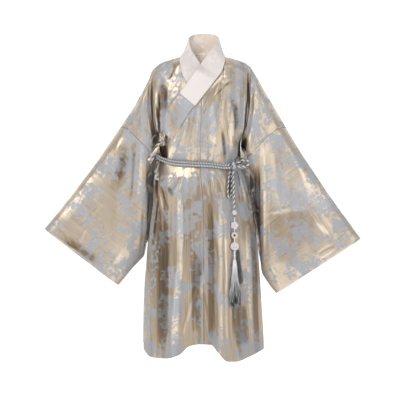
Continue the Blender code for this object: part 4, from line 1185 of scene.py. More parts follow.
def drift(x, z, phase):
    """Shallow waves across the cloth that wander and fade as they run down it."""
    slow = np.sin(7.1 * z + phase) + 0.6 * np.sin(17.3 * z + 2.3 * phase)
    wave = np.sin(2 * math.pi * x / LONG_WAVE + 1.4 * slow + phase)
    wave = wave + 0.6 * np.sin(2 * math.pi * x / SHORT_WAVE - 2.1 * slow + 2 * phase)
    return DRIFT_HIGH * wave * (0.6 + 0.4 * np.sin(11 * z + 3 * x / 0.1 + phase))


def measured(points, axis):
    """Lengths of cloth from the first row along one direction of a grid."""
    step = np.linalg.norm(np.diff(points, axis=axis), axis=-1)
    start = np.zeros_like(np.take(step, [0], axis=axis))
    return np.concatenate([start, np.cumsum(step, axis=axis)], axis=axis)


def sewn_edges(*distances):
    """How far the seams along these edges draw the cloth in."""
    return -SEAM_DIP * sum(hump(distance, SEAM_REACH) for distance in distances)


def area_of(across, down):
    """The area of a sheet from the lengths of its cloth both ways."""
    return float((np.diff(across, axis=0)[:, 1:] * np.diff(down, axis=1)[1:]).sum())


def outward(points, normal, inside):
    """Turns a grid's normals, all together, away from the points inside it."""
    return normal * np.sign(np.sum(normal * (points - inside)))


def dress(node, points, inside, relief, tone, uv, finish, joined=False, wall=WALL, lining=None):
    """Moves the points out along their normals by the relief, and makes the piece that stands for
    the solid of that node."""
    normal = outward(points, surface_normals(points, joined), inside)
    quads, agreed = facing_out(points, lattice(1, *points.shape[:2], joined_rows=joined), normal)
    if joined:
        corners = lattice(1, points.shape[0] + 1, points.shape[1])
        uv = uv.reshape(-1, 2)[corners if agreed else corners[:, ::-1]]
    moved = points + normal * relief[..., None]
    obj = build("cloth_" + node, moved, quads, finish, uv=uv, tone=tone)
    if lining:
        obj.data.materials.append(lining)
    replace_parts(thicken(obj, wall), node)
    print(obj.name, len(quads), "quads")
    return obj


waves = drift(np.linspace(0, 1, 999), 0.0, 0.0)
print("shallow waves, up to", round(float(np.abs(waves).max()), 4), "m high")

# %% [markdown]
# ## The body's panels
# The front is cut in two with a seam down its middle and laps over the under front, which is only
# seen at the neck and beside the overlap's edge. The back has a seam down its middle too. The folds
# are worked out from places in space, so that neighbours agree at their seams. The pattern follows
# each panel's own lengths of cloth and starts anew at a seam, as in cloth cut from one long piece.

# %% Panels
# Painted light: the upper body is painted lighter than the skirt, changing below SKIRT_FROM over
# SKIRT_OVER.
UPPER_PAINTED_LIGHT, SKIRT_PAINTED_LIGHT = 0.47, 0.30
SKIRT_FROM, SKIRT_OVER = -0.44, 0.16
CLOTH_STEP, ABOVE_UNDERARM, BELOW_UNDERARM = 0.0042, 0.36, 0.82
ROUND_OVER_STRAIGHT = 1.15  # a panel's width round the body over its width straight across
CENTRE_SEAM, BACK_SEAM, HALF_GAP = 0.004, 90.0, 0.015  # metres across, degrees, degrees
CALM_BELOW_TOP, CALM_BY_SIDE = 0.03, 0.05  # how far from an edge the folds reach their height
LEFT_AT_SIDE = 0.15  # what is left of a fold at a panel's side
WAVES_FROM = {-1: 1.3, 1: 4.1}  # where the shallow waves start, in front and at the back
SIDE_SEAM_SHARE, HEM_SHARE, HEM_FOLD = 0.15, 0.5, 0.004  # of a seam's dip; the hem's own fold


def angle_at(x, z=0.0):
    across = (x - read(BODY, "centre", z)) / read(BODY, "half", z)
    return math.degrees(math.acos(math.copysign(abs(across) ** (FULLNESS / 2), across)))


def panel(name, low, high, face, top, layer, offset, seam=None, step=CLOTH_STEP):
    """low and high are the panel's angles; seam says which of its sides is sewn down the skirt."""
    folds, painted_strokes = (FRONT_FOLDS, FRONT_PAINTED_LIGHT) if face < 0 else (BACK_FOLDS, BACK_PAINTED_LIGHT)
    wide = np.linalg.norm(body(low, -0.7, face) - body(high, -0.7, face))
    q = np.linspace(low, high, int(ROUND_OVER_STRAIGHT * wide / step))
    rows_above = int(ABOVE_UNDERARM / step)
    below = np.linspace(1, 2, int(BELOW_UNDERARM / step))[1:]
    s = np.concatenate([np.linspace(0, 1, rows_above), below])
    points = panel_point(*grid(q, s), face, top, layer)
    across, down = measured(points, 0), measured(points, 1)
    width, height = across[-1:], down[:, -1:]
    x, z = points[..., 0], points[..., 2]
    relief = strokes(x, z, folds) + drift(x, z, WAVES_FROM[face])
    side = np.minimum(np.where(low <= 0, across, 1), np.where(high >= 180, width - across, 1))
    by_side = LEFT_AT_SIDE + (1 - LEFT_AT_SIDE) * ease(side / CALM_BY_SIDE)
    relief = relief * (ease(down / CALM_BELOW_TOP) * by_side)
    # Painted light and shade: the level of the upper body or the skirt, the painted strokes, and a
    # painted highlight on each crest of the relief.
    tone = UPPER_PAINTED_LIGHT + (SKIRT_PAINTED_LIGHT - UPPER_PAINTED_LIGHT) * ease((SKIRT_FROM - z) / SKIRT_OVER)
    tone = tone + strokes(x, z, painted_strokes, 3.5) + RELIEF_PAINTED_LIGHT * relief
    sewn = {"low": across, "high": width - across}
    relief = relief + SIDE_SEAM_SHARE * sewn_edges(*[sewn[side] for side in sewn if side == seam])
    relief = relief + HEM_SHARE * sewn_edges(height - down + HEM_FOLD)
    uv = np.stack([across + offset[0], down - down[:, [rows_above]] + offset[1]], axis=-1)
    obj = dress(name, points, points * (0, 0, 1), relief, tone, uv, PANEL_SATIN)
    return obj, (float(width.max()), float(height.max())), area_of(across, down)


def report(pieces):
    for obj, flat, area in pieces:
        print(obj.name, "flat", [round(v, 3) for v in flat], "area", round(area, 3))
    return pieces


seam_left, seam_right = angle_at(CENTRE_SEAM) - HALF_GAP, angle_at(CENTRE_SEAM) + HALF_GAP
PANELS = report([
    panel("front_left", 0, seam_left, -1, outer_top, outer_layer, (0.31, 0.0), "high"),
    panel("front_left_overlap", seam_right, 160, -1, outer_top, outer_layer, (1.37, 0.21), "low"),
    panel("front_right", 84, 180, -1, under_top, no_layer, (2.3, 0.9), step=0.006),
    panel("back_left", 0, BACK_SEAM - HALF_GAP, 1, back_top, no_layer, (3.1, 1.7), "high", 0.005),
    panel("back_right", BACK_SEAM + HALF_GAP, 180, 1, back_top, no_layer, (4.4, 2.2), "low", 0.005),
])

# %% [markdown]
# ## Sleeves
# A sleeve is one wide tube that starts at the armhole and ends at the cuff. It is cut in two with
# a seam between, so each part of it is a grid that closes on itself round the arm. The weave lies
# parallel to the cuff, so the lengths in its UV map start at the cuff's side.

# %% The sleeve's surface
CUFF_TOP = {"left": (0.628, 0, -0.724), "right": (-0.630, 0, -0.686)}
CUFF_FOOT = {"left": (0.290, 0, -0.943), "right": (-0.336, 0, -0.911)}
CUFF_Y, CUFF_HALF_DEPTH = -0.020, 0.032
TOP_SAG = {
    "left": in_mm("w out", (0, 0), (0.25, 8), (0.5, 15.5), (0.75, 12), (1, 0)),
    "right": in_mm("w out", (0, 0), (0.1, 15), (0.25, 23), (0.5, 23), (0.75, 15), (1, 0)),
}
FOOT_BELLY = {
    "left": in_mm(
        "w out",
        (0, 0), (0.33, -12), (0.5, 0), (0.67, 18), (0.83, 36), (0.93, 20), (1, 0),
    ),
    "right": in_mm("w out", (0, 0), (0.35, 32), (0.67, 66), (0.9, 26), (1, 0)),
}
SLEEVE_CLEAR = in_mm("z gap", (-900, 10), (-550, 12), (-500, 29), (-375, 29), (-350, 10), (-300, 0))
UNDER_TURN = table(
    "w share",
    (0, 0), (0.08, 0.3), (0.2, 1), (0.55, 1), (0.75, 0.6), (0.9, 0.1), (1, 0),
)
UNDER_TURN_IN = {"left": 0.060, "right": 0.080}
UNDER_TURN_BACK = 0.055
UNDER_TURN_AT, UNDER_TURN_REACH = 218.0, 42.0
UPPER_SLEEVE_ENDS = 0.354, 0.10
SLEEVE_SWELL, SLEEVE_SWELL_AT, SLEEVE_SWELL_REACH = 0.022, 0.12, 0.10
SLEEVE_START = 0.0012  # a sleeve's clearance from the armhole
ROUND_AT_TOP, ROUND_AT_FOOT = 0.12, 0.25  # share of the cuff over which its two folds are rounded
TOP_EDGE = (0.375, -0.64)  # the direction of a sleeve's top edge, out and down
CLEAR_FROM, CLEAR_OVER, CLEAR_SOFTLY = -0.28, 0.05, 0.006


def sleeve_point(side, w, v_angle):
    """w runs from 0 at the armhole to 1 at the cuff; v_angle goes round, 0 on top, 180 at the foot,
    the front before 180. A straight line from armhole to cuff, bent by the sag, belly and turn."""
    v_angle = np.mod(v_angle, 360)
    v = (1 - np.cos(np.radians(v_angle))) / 2
    face = np.where(v_angle <= 180, -1.0, 1.0)
    q = np.zeros_like(v) if side == "left" else np.full_like(v, 180.0)
    front = panel_point(q, v, -1, outer_top if side == "left" else under_top, no_layer)
    back = panel_point(q, v, 1, back_top, no_layer)
    start = np.where((face < 0)[..., None], front, back)
    away = 1.0 if side == "left" else -1.0
    start = start + np.array([away * SLEEVE_START, 0, 0])
    top, foot = np.array(CUFF_TOP[side]), np.array(CUFF_FOOT[side])
    over_top = np.sqrt(1 - (1 - np.clip(v / ROUND_AT_TOP, 0, 1)) ** 2)
    over_foot = np.sqrt(1 - (1 - np.clip((1 - v) / ROUND_AT_FOOT, 0, 1)) ** 2)
    round_off = over_top * over_foot
    end = top + (foot - top) * v[..., None]
    end[..., 1] = CUFF_Y + face * CUFF_HALF_DEPTH * round_off
    point = start + (end - start) * w[..., None]
    swell = SLEEVE_SWELL * hump(w - SLEEVE_SWELL_AT, SLEEVE_SWELL_REACH)
    point[..., 1] += face * swell * ease(w / 0.06) * round_off
    sag = read(TOP_SAG[side], "out", w) * (1 - v) ** 1.5
    line = Vector((away * TOP_EDGE[0], 0, TOP_EDGE[1])).normalized()
    point += sag[..., None] * np.array([away * line.z, 0, -abs(line.x)])
    point[..., 0] -= away * read(FOOT_BELLY[side], "out", w) * v**2.5
    turned = hump(v_angle - UNDER_TURN_AT, UNDER_TURN_REACH) * read(UNDER_TURN, "share", w)
    point[..., 0] -= away * UNDER_TURN_IN[side] * turned
    point[..., 1] += UNDER_TURN_BACK * turned
    return clear_of_body(point, away, ease(w / 0.1))


def clear_of_body(point, away, share):
    """Moves a sleeve's points sideways until they lie outside the body's section and the belt."""
    z = point[..., 2]
    gap = read(SLEEVE_CLEAR, "gap", z) * share
    across = read(BODY, "half", z) + gap
    depth = np.where(point[..., 1] < 0, read(BODY, "front", z), read(BODY, "back", z))
    deep = np.minimum(np.abs(point[..., 1]) / (depth + gap), 1) ** FULLNESS
    least = away * read(BODY, "centre", z) + across * (1 - deep) ** (1 / FULLNESS)
    reach = away * point[..., 0]
    held = (reach + least + np.sqrt((reach - least) ** 2 + CLEAR_SOFTLY**2)) / 2
    held = reach + (held - reach) * ease((CLEAR_FROM - z) / CLEAR_OVER)
    return np.stack([away * held, point[..., 1], z], axis=-1)


for side in CUFF_TOP:
    print("cuff's middle,", side, np.round(sleeve_point(side, np.ones(1), np.array([90.0]))[0], 3))

# %% Folds of the sleeves, and their painted light and shade
RIGHT_FOLDS = in_mm(
    STROKE,
    (-245, -327, -261, -572, 3, 6, 3.5), (-267, -343, -285, -580, 2, 6, -3),
    (-289, -327, -289, -540, 2, 6, 3), (-332, -335, -360, -461, 4, 10, 2),
    (-316, -374, -340, -556, 0, 10, -2.2), (-415, -596, -482, -671, 2, 3.2, -3.5),
    (-403, -584, -470, -655, 2, 6, 2), (-542, -710, -522, -770, 1, 3.5, -3.2),
    (-510, -722, -486, -778, 1, 3.5, 3.2), (-557, -742, -482, -778, 1, 4, 3),
    (-565, -758, -470, -801, 0, 4, -2.5), (-221, -556, -225, -730, 1, 5, 2.8),
    (-237, -604, -253, -817, 3, 7, -2.2), (-380, -453, -439, -592, 4, 12, 1.8),
    (-324, -770, -391, -857, 3, 9, 1.8), (-455, -675, -490, -742, 0, 6, 1.8),
)
LEFT_FOLDS = in_mm(
    STROKE,
    (237, -374, 241, -817, 1, 4.5, 4.5), (219, -406, 223, -778, 0, 6, -4.5),
    (257, -414, 269, -770, 2, 8, -1.8), (423, -608, 510, -742, 2, 4, -4.2),
    (443, -600, 530, -730, 2, 6, 3), (249, -623, 419, -592, 4, 8, 2.8),
    (518, -730, 589, -683, 0, 3, -2.2), (446, -789, 514, -750, 1, 4, -3.2),
    (458, -805, 522, -766, 1, 5, 3.2), (431, -774, 478, -797, 0, 3.5, 2.8),
    (320, -335, 395, -493, 4, 12, 2), (367, -374, 470, -556, 3, 12, -1.8),
    (269, -473, 308, -631, 3, 8, 1.8), (324, -817, 407, -880, 3, 10, 1.8),
    (257, -817, 308, -928, 2, 6, 2.2), (194, -414, 205, -631, 0, 6, -3),
)
# Painted light and shade on the sleeves: lighter and darker patches, and near-black painted shadow
# where a sleeve hangs beside the body.
RIGHT_PAINTED_LIGHT = in_mm(
    STROKE,
    (-312, -374, -352, -501, 4, 30, -450), (-467, -525, -565, -659, 4, 50, 350),
    (-550, -730, -415, -825, 0, 20, -500), (-214, -355, -210, -770, 0, 12, -800),
    (-245, -335, -257, -564, 3, 8, 450), (-269, -355, -285, -572, 2, 8, -350),
    (-368, -710, -308, -908, 0, 40, 150), (-196, -200, -190, -360, 0, 10, -1200),
    (-192, -440, -196, -640, 0, 10, -1400), (-200, -640, -215, -860, 0, 16, -800),
)
LEFT_PAINTED_LIGHT = in_mm(
    STROKE,
    (284, -801, 383, -817, 0, 45, -200), (235, -668, 455, -640, 0, 105, -340),
    (352, -493, 494, -627, 4, 45, 350), (446, -659, 502, -706, 0, 10, 600),
    (454, -801, 526, -766, 0, 7, 500), (239, -374, 241, -817, 1, 5, 450),
    (209, -406, 213, -801, 0, 16, -850), (273, -374, 288, -592, 2, 20, 250),
    (163, -320, 150, -420, 0, 12, -1600), (184, -120, 170, -300, 0, 4, -1200),
    (176, -560, 196, -800, 0, 12, -900),
)


def mirrored(rows):
    """The same strokes on the other side; a sleeve's back borrows the folds of the other sleeve."""
    return {**rows, "x0": -rows["x0"], "x1": -rows["x1"], "bend": -rows["bend"]}


SLEEVE_STROKES = {
    "left": (LEFT_FOLDS, mirrored(RIGHT_FOLDS), LEFT_PAINTED_LIGHT, mirrored(RIGHT_PAINTED_LIGHT)),
    "right": (RIGHT_FOLDS, mirrored(LEFT_FOLDS), RIGHT_PAINTED_LIGHT, mirrored(LEFT_PAINTED_LIGHT)),
}
print("sleeve folds:", len(LEFT_FOLDS["x0"]) + len(RIGHT_FOLDS["x0"]), "and as many behind")

# %% Sleeves
ROWS_HALF_ROUND = 92
half_way = np.linspace(0, 1, ROWS_HALF_ROUND)
half_turn = 180 * (0.45 * half_way + 0.55 * np.arccos(1 - 2 * half_way) / math.pi)
ROUND = np.concatenate([180 + half_turn[:-1], 360 + half_turn[:-1]])
# Painted light: each sleeve's own level of lightness, the left one lighter, and how much a crest of
# the relief paints a highlight.
SLEEVE_PAINTED_LIGHT, SLEEVE_RELIEF_PAINTED_LIGHT = {"left": 0.66, "right": 0.52}, 55
SLEEVE_WAVES_FROM, SLEEVE_WAVES_LONGER = 2.2, 0.6
CALM_BY_FOLD, LEFT_AT_FOLD, CALM_BY_ARMHOLE = 0.03, 0.1, 0.02


def sleeve(name, side, first, last, columns, offset):
    """first and last give w where the piece starts and ends, on top and at the foot."""
    angle, s = grid(ROUND, np.linspace(0, 1, columns))
    v = (1 - np.cos(np.radians(angle))) / 2
    start, end = (top + (foot - top) * v for top, foot in (first, last))
    points = sleeve_point(side, start + (end - start) * s, angle)
    x, z = points[..., 0], points[..., 2]
    front_folds, back_folds, front_painted_light, back_painted_light = SLEEVE_STROKES[side]
    behind = np.mod(angle, 360) > 180
    relief = np.where(behind, strokes(x, z, back_folds), strokes(x, z, front_folds))
    tone = np.where(behind, strokes(x, z, back_painted_light, 2.0), strokes(x, z, front_painted_light, 2.0))
    out, closed = measured(points, 1), np.concatenate([points, points[:1]])
    around = measured(closed, 0)
    top_row = len(ROUND) // 2
    around = around - around[top_row : top_row + 1]
    from_foot = np.minimum(around[-1:] - around[:-1], around[:-1] - around[:1])
    from_fold = np.minimum(np.abs(around[:-1]), from_foot)
    relief = relief + drift(SLEEVE_WAVES_LONGER * x, z, SLEEVE_WAVES_FROM)
    relief = relief * (LEFT_AT_FOLD + (1 - LEFT_AT_FOLD) * ease(from_fold / CALM_BY_FOLD))
    relief = relief * ease(out / CALM_BY_ARMHOLE)
    # Painted light and shade from the sleeve's level, its strokes and its relief.
    tone = SLEEVE_PAINTED_LIGHT[side] + tone + SLEEVE_RELIEF_PAINTED_LIGHT * relief
    long = out[:, -1:]
    at_cuff = name.startswith("sleeve")
    relief = relief + sewn_edges(out) + (0.5 if at_cuff else 1) * sewn_edges(long - out)
    u = np.concatenate([out - long, (out - long)[:1]])
    uv = np.stack([u + offset[0], offset[1] - around], axis=-1)
    middle = points.mean(axis=0, keepdims=True)
    obj = dress(name, points, middle, relief, tone, uv, SATIN, joined=True)
    wide = around[-1] - around[0]
    area = float((np.diff(out, axis=1) * wide[1:] / len(ROUND)).sum())
    return obj, (float(wide.max()), float(long.max())), area


upper_end, lower_start = ([end + gap for end in UPPER_SLEEVE_ENDS] for gap in (-2 * SEAM, 2 * SEAM))
SLEEVES = []
for side, shift in (("left", 5.2), ("right", 7.9)):
    SLEEVES.append(sleeve(f"upper_sleeve_{side}", side, (0, 0), upper_end, 44, (shift, 0.3)))
    SLEEVES.append(sleeve(f"sleeve_{side}", side, lower_start, (1, 1), 92, (shift + 1.1, 0.8)))
report(SLEEVES)

# %% [markdown]
# ## Collar
# The white collar runs from its cut end on the chest up round the neck and down again inside the
# other front. A short strip of damask carries it on to the tie. Both are bands between a sewn
# edge and a free edge, a little fuller along their middle. A thin facing lines the back of the
# neck, where the collar stands open.

# %% Collar rows
COLLAR_ON_OUTER = in_mm(
    "x z free_x free_z",
    (-31.5, -207.5, -90.5, -157), (-12, -183, -76.5, -137), (7.5, -158, -60, -113.5),
    (26.3, -134, -44, -89.5), (44, -111, -28, -66),
)
COLLAR_ROUND_NECK = in_mm(
    "face x z free_x free_y free_z",
    (-1, 60, -89, -9.6, -86, -38.3), (-1, 74, -66, 6, -81, -16), (-1, 84, -40, 22, -70, 8),
    (-1, 88.5, -18, 38, -56, 29), (0, 87.5, 5.5, 56, -30, 54), (1, 84, 0, 64, 0, 72),
    (1, 75, 2, 64, 25, 83), (1, 59, 7.5, 56, 44, 93), (1, 38, 13.5, 37, 60, 101),
    (1, 0, 18, 0, 68, 103.2), (1, -38, 13.5, -36, 60, 99), (1, -59, 7.5, -50, 44, 90.5),
    (1, -75, 2, -57, 25, 80), (1, -84, 0, -58, 0, 69), (0, -88.5, 6.5, -53, -28, 44),
    (-1, -92, -26, -44, -52, 20), (-1, -87.5, -52, -29, -69, -6), (-1, -81.5, -77, -9, -80, -38),
)
COLLAR_ON_UNDER = in_mm(
    "x z free_x free_z",
    (-70, -106, -1, -60), (-52, -135, 18, -90), (-33, -165, 37, -120),
)
COLLAR_WALL = 0.0022
FACING_HIGH, FACING_LOW, FACING_HALF, FACING_WALL = 0.034, -0.075, 0.064, 0.0008
FACING_FLAT, FACING_AREA = (0.205, 0.11), 0.0224  # the strip as cut
COLLAR_BAND = in_mm(
    "x z free_x free_z",
    (-28, -203, -86, -150), (-49.4, -227, -108, -178), (-70, -258, -127, -201),
    (-88, -286, -142, -222), (-102, -307, -150, -248), (-113, -323, -152, -282),
    (-120, -335, -151, -312),
)


for rows in (COLLAR_ON_OUTER, COLLAR_ROUND_NECK, COLLAR_ON_UNDER, COLLAR_BAND):
    print("rows of the collar:", len(rows["x"]))


# %% Collar bands and facing
def rows_on_cloth(rows, out):
    """A collar's two edges where both lie on the chest."""
    sewn = [cloth_at(x, z, -1, out) for x, z in zip(rows["x"], rows["z"])]
    free = [cloth_at(x, z, -1, out) for x, z in zip(rows["free_x"], rows["free_z"])]
    return np.array(sewn), np.array(free)


def rows_round_neck(rows, outer_out):
    sewn = []
    for face, x, z in zip(rows["face"], rows["x"], rows["z"]):
        out = outer_out if face < 0 and x > 0 else 2 * COLLAR_RISE
        sewn.append([x, 0, z] if face == 0 else cloth_at(x, z, face, out))
    return np.array(sewn), np.stack([rows["free_x"], rows["free_y"], rows["free_z"]], axis=-1)


def band(node, sewn, free, finish, swell, step=0.0035):
    """sewn + (free - sewn) v, raised by swell x sin(pi v)^(1/2) and, at the sewn edge, by small
    puckers."""
    stations = np.arange(len(sewn), dtype=float)
    length = length_of((sewn + free) / 2)
    t, v = grid(np.linspace(0, len(sewn) - 1, int(length / step)), np.linspace(0, 1, 24))
    low, high = (curve_through(stations, edge, t) for edge in (sewn, free))
    points = low + (high - low) * v[..., None]
    along_t, across = measured(points, 0), measured(points, 1)
    run = along_t[:, 12:13]
    pucker = np.sin(run / 0.0032 + 2.1 * np.sin(run / 0.011)) * hump(across, 0.010)
    relief = swell * np.sqrt(np.sin(math.pi * np.clip(v, 0.001, 0.999))) + 0.0003 * pucker
    wave = np.sin(run / 0.027 + 3 * v) * np.sin(math.pi * v)
    uv = np.stack([run + 0 * across, across], axis=-1)
    inside = np.array([0.0, 0.02, -0.06])  # a point within the neck
    # Painted light: the damask band is painted lighter where its waves rise and darker where they
    # fall.
    made = dress(
        node, points, inside, relief + 0.0006 * wave, 0.55 + 0.2 * wave, uv, finish,
        wall=COLLAR_WALL, lining=LINING_WITH_PAINTED_LIGHT if finish == WHITE else None,
    )
    return made, (float(across[:, -1].max()), float(along_t[-1].max())), area_of(along_t, across)


outer_out = OUTER_LAYER + 2 * COLLAR_RISE
outer = rows_on_cloth(COLLAR_ON_OUTER, outer_out)
neck = rows_round_neck(COLLAR_ROUND_NECK, outer_out)
under = rows_on_cloth(COLLAR_ON_UNDER, COLLAR_RISE)
white_edges = [np.concatenate(edges) for edges in zip(outer, neck, under)]
band_edges = rows_on_cloth(COLLAR_BAND, OUTER_LAYER + COLLAR_RISE)
COLLAR = [
    band("collar_white", *white_edges, WHITE, 0.0012),
    band("collar_band", *band_edges, BAND_SATIN, 0.0010),
]
x, z = grid(
    np.linspace(-FACING_HALF, FACING_HALF, 50), np.linspace(FACING_HIGH, FACING_LOW, 36)
)
x = x * (1 - 0.20 * ease((z - 0.004) / 0.03))
back = np.array([cloth_at(at, 0.010, 1, -0.0062)[1] for at in x.ravel()]).reshape(x.shape)
y = back + 0.5 * np.maximum(z - 0.016, 0) - 0.06 * np.maximum(0.010 - z, 0)
facing, facing_uv = np.stack([x, y, z], axis=-1), np.stack([x + 0.5, z], axis=-1)
neck_facing = build("cloth_neck_facing", facing, lattice(1, *x.shape), LINING_WITH_PAINTED_LIGHT, uv=facing_uv)
COLLAR.append((thicken(neck_facing, FACING_WALL), FACING_FLAT, FACING_AREA))
report(COLLAR)

# %% [markdown]
# ## Knots
# A knot is a few turns of the same cord laid over a ball, each turn a ring round it: tilt says
# which way the ring runs across the front, and shift how far it lies from the middle.


# %% Knots of cord
RING_TURNS, BEFORE_SIDE = 1.04, 1.6  # a ring laps over itself, and it starts before its side


def ring_path(centre, half, tilt, shift, swell=1.0, steps=64):
    """cos a u + sin a v + shift w, on the unit ball, then scaled by the ball's half sizes."""
    a = np.linspace(0, 2 * math.pi * RING_TURNS, steps) - BEFORE_SIDE
    t = math.radians(tilt)
    u, w = np.array([math.cos(t), 0, math.sin(t)]), np.array([-math.sin(t), 0, math.cos(t)])
    v = np.array([0.0, -1.0, 0.0])
    level = math.sqrt(1 - shift**2)
    ball = level * (np.cos(a)[:, None] * u - np.sin(a)[:, None] * v) + shift * w
    return np.array(centre) + ball * np.array(half) * swell


def knot_of(name, node, centre, half, width, turns, yarns):
    core = [h - width / 2 for h in half]
    pieces = []
    for k, (tilt, shift, swell) in enumerate(turns):
        path = ring_path(centre, core, tilt, shift, swell)
        hand = 1 - 2 * (k % 2)
        turn = rope(f"{name}_{k}", path, width, yarns, 2.2 * width, (0.02, 0.1, 1.0), hand)
        pieces.append(settle(turn, "cord", node))
    return pieces


knot_of(
    "knot_turn", "belt_knot", KNOT + Vector((0.003, -0.002, 0)), (0.0118, 0.0125, 0.015), 0.008,
    ((72, 0.55, 1.0), (96, -0.58, 1.0), (80, 0.02, 1.02), (140, 0.05, 1.12), (152, -0.35, 1.0)),
    TWIST,
)
print("knot at", [round(v, 3) for v in KNOT])

# %% [markdown]
# ## Ornaments
# The string carries a small knot, a blossom, a ring and a carved disc, all upright and pale. The
# blossom and the disc are turned: rings of points from the middle of the face over the rim to the
# middle of the back. Their carving is a height over radius and angle, laid on both faces. The
# ring is a tube that closes on itself both ways.


# %% Turned and carved
def turned(name, node, z, radius, thick, carving, lobes=0, deep=0.0, square=5.0):
    """r = R sin(p) (1 - deep |sin(lobes a / 2)| sin(p)^4), y = -+ thick / 2 (1 - sin(p)^n)^(1/n),
    and the carving(r, a) on both faces."""
    p, a = grid(np.linspace(0.02, math.pi - 0.02, 61), full_turn(96))
    share = np.sin(p)
    face = np.where(p < math.pi / 2, -1.0, 1.0)
    edge = (1 - np.minimum(share, 1) ** square) ** (1 / square)
    reach = radius * share * (1 - deep * np.abs(np.sin(lobes * a / 2)) * share**4)
    y = face * (thick / 2 * edge + carving(share, a))
    place = np.array([PENDANT_X, hang(PENDANT_X, z, thick), z])
    points = np.stack([reach * np.cos(a), y, reach * np.sin(a)], axis=-1) + place
    quads = lattice(1, *p.shape, joined_columns=True)
    return settle(build(name, points, quads, JADE, end_caps(points)), "jade", node)


def blossom_carving(share, a):
    petals = np.abs(np.cos(2.5 * a)) ** 0.6 * hump(share - 0.62, 0.24)
    return 0.0016 * petals + 0.0016 * hump(share, 0.16) - 0.0012 * hump(share - 0.27, 0.07)


def disc_carving(share, a):
    scroll = np.sin(4 * a + 9 * share) * hump(share - 0.58, 0.16)
    rims = hump(share - 0.86, 0.06) + 0.7 * hump(share - 0.34, 0.04)
    boss = hump(share, 0.15) * (1 + 0.3 * np.cos(6 * a))
    return 0.0012 * rims + 0.0015 * scroll + 0.0015 * boss


blossom = turned(
    "carved_blossom", "jade_flower", BLOSSOM_Z, BLOSSOM_R, 0.006, blossom_carving, 5, 0.16
)
medallion = turned("carved_disc", "jade_disc", DISC_Z, DISC_R, 0.006, disc_carving, 16, 0.04)
c, a = grid(full_turn(28), full_turn(96))
wide, deep = (np.sign(wave) * np.abs(wave) ** 0.6 for wave in (np.cos(c), np.sin(c)))
reach = RING_R * (0.69 + 0.31 * wide)
y = hang(PENDANT_X, RING_Z, STONE) + 0.0032 * deep + 0.0004 * np.sin(12 * a) * (wide > 0)
points = np.stack([PENDANT_X + reach * np.cos(a), y, RING_Z + reach * np.sin(a)], axis=-1)
jade_ring = build("carved_ring", points, lattice(1, *c.shape, True, True), JADE)
settle(jade_ring, "jade", "jade_ring")
print("stones:", blossom.name, medallion.name, jade_ring.name)

# %% Small knot, and the string's finish
KNOT_Z, KNOT_THICK = -0.620, 0.012
small_centre = (PENDANT_X, hang(PENDANT_X, KNOT_Z, KNOT_THICK), KNOT_Z)
SMALL_KNOT = knot_of(
    "string_knot_turn", "pendant_knot", small_centre, (0.0104, 0.0068, 0.0110), 0.0058,
    ((35, 0.52, 1.0), (-35, -0.50, 1.0), (35, -0.25, 1.0), (-35, 0.22, 1.05), (85, 0.1, 0.7)),
    [PALE, SILVER, PALE],
)
string, string_path, string_width = FREE_CORDS["pendant_cord"]
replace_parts(string, "pendant_link_1", "pendant_link_2", "pendant_link_3", "pendant_tail")
for yarn_finish in (PALE, CHARCOAL):
    string.data.materials.append(yarn_finish)


def refinish(obj, slots):
    """Gives faces another of the object's finishes: (which faces, from their middles, slot)."""
    middles = np.array([face.center for face in obj.data.polygons])
    index = np.array([face.material_index for face in obj.data.polygons])
    for chosen, slot in slots:
        index[chosen(middles, index)] = slot
    obj.data.polygons.foreach_set("material_index", index.astype(np.int32))


DARK_BEAD_Z, LOOP_RISES_FROM = -0.6345, 0.1065
refinish(string, (
    (lambda at, slot: at[:, 2] < BEADS_BELOW, 3),
    # Painted shade: the string is charcoal where it runs through the ring, so that the ring's hole
    # reads dark.
    (lambda at, slot: np.abs(at[:, 2] - RING_Z) < 0.8 * RING_R, 4),
    (lambda at, slot: np.abs(at[:, 2] - DARK_BEAD_Z) < 0.0035, 4),
))
# Painted shade: on the end loop's rising side a silver yarn is made charcoal, for the shade it
# hangs in.
rising_in_shade = (lambda at, slot: (at[:, 0] > LOOP_RISES_FROM) & (slot == 2), 1)
refinish(FREE_CORDS["belt_end_loop"][0], (rising_in_shade,))
print("string:", round(length_of(string_path), 3), "m, through", len(SMALL_KNOT), "turns, 3 stones")

# %% [markdown]
# ## Tassels
# A tassel is a bound head with strands rooted in it. Strand k starts at its own place in the
# head, after the golden angle, so the strands fill it evenly, and keeps that place while the
# tassel widens below. All strands are one mesh.

# %% Tassels
TASSEL_HEAD = table("drop wide", (0, 0.30), (0.12, 0.66), (0.45, 0.84), (0.8, 1.0), (1.0, 1.0))
STRAND_ROOT = 0.004  # how far the strands reach up into the head
GOLDEN_ANGLE = 2.39996
STRAND_STEPS, STRAND_SIDES = 14, 3
FLATTENED = 0.7  # a head's depth over its width


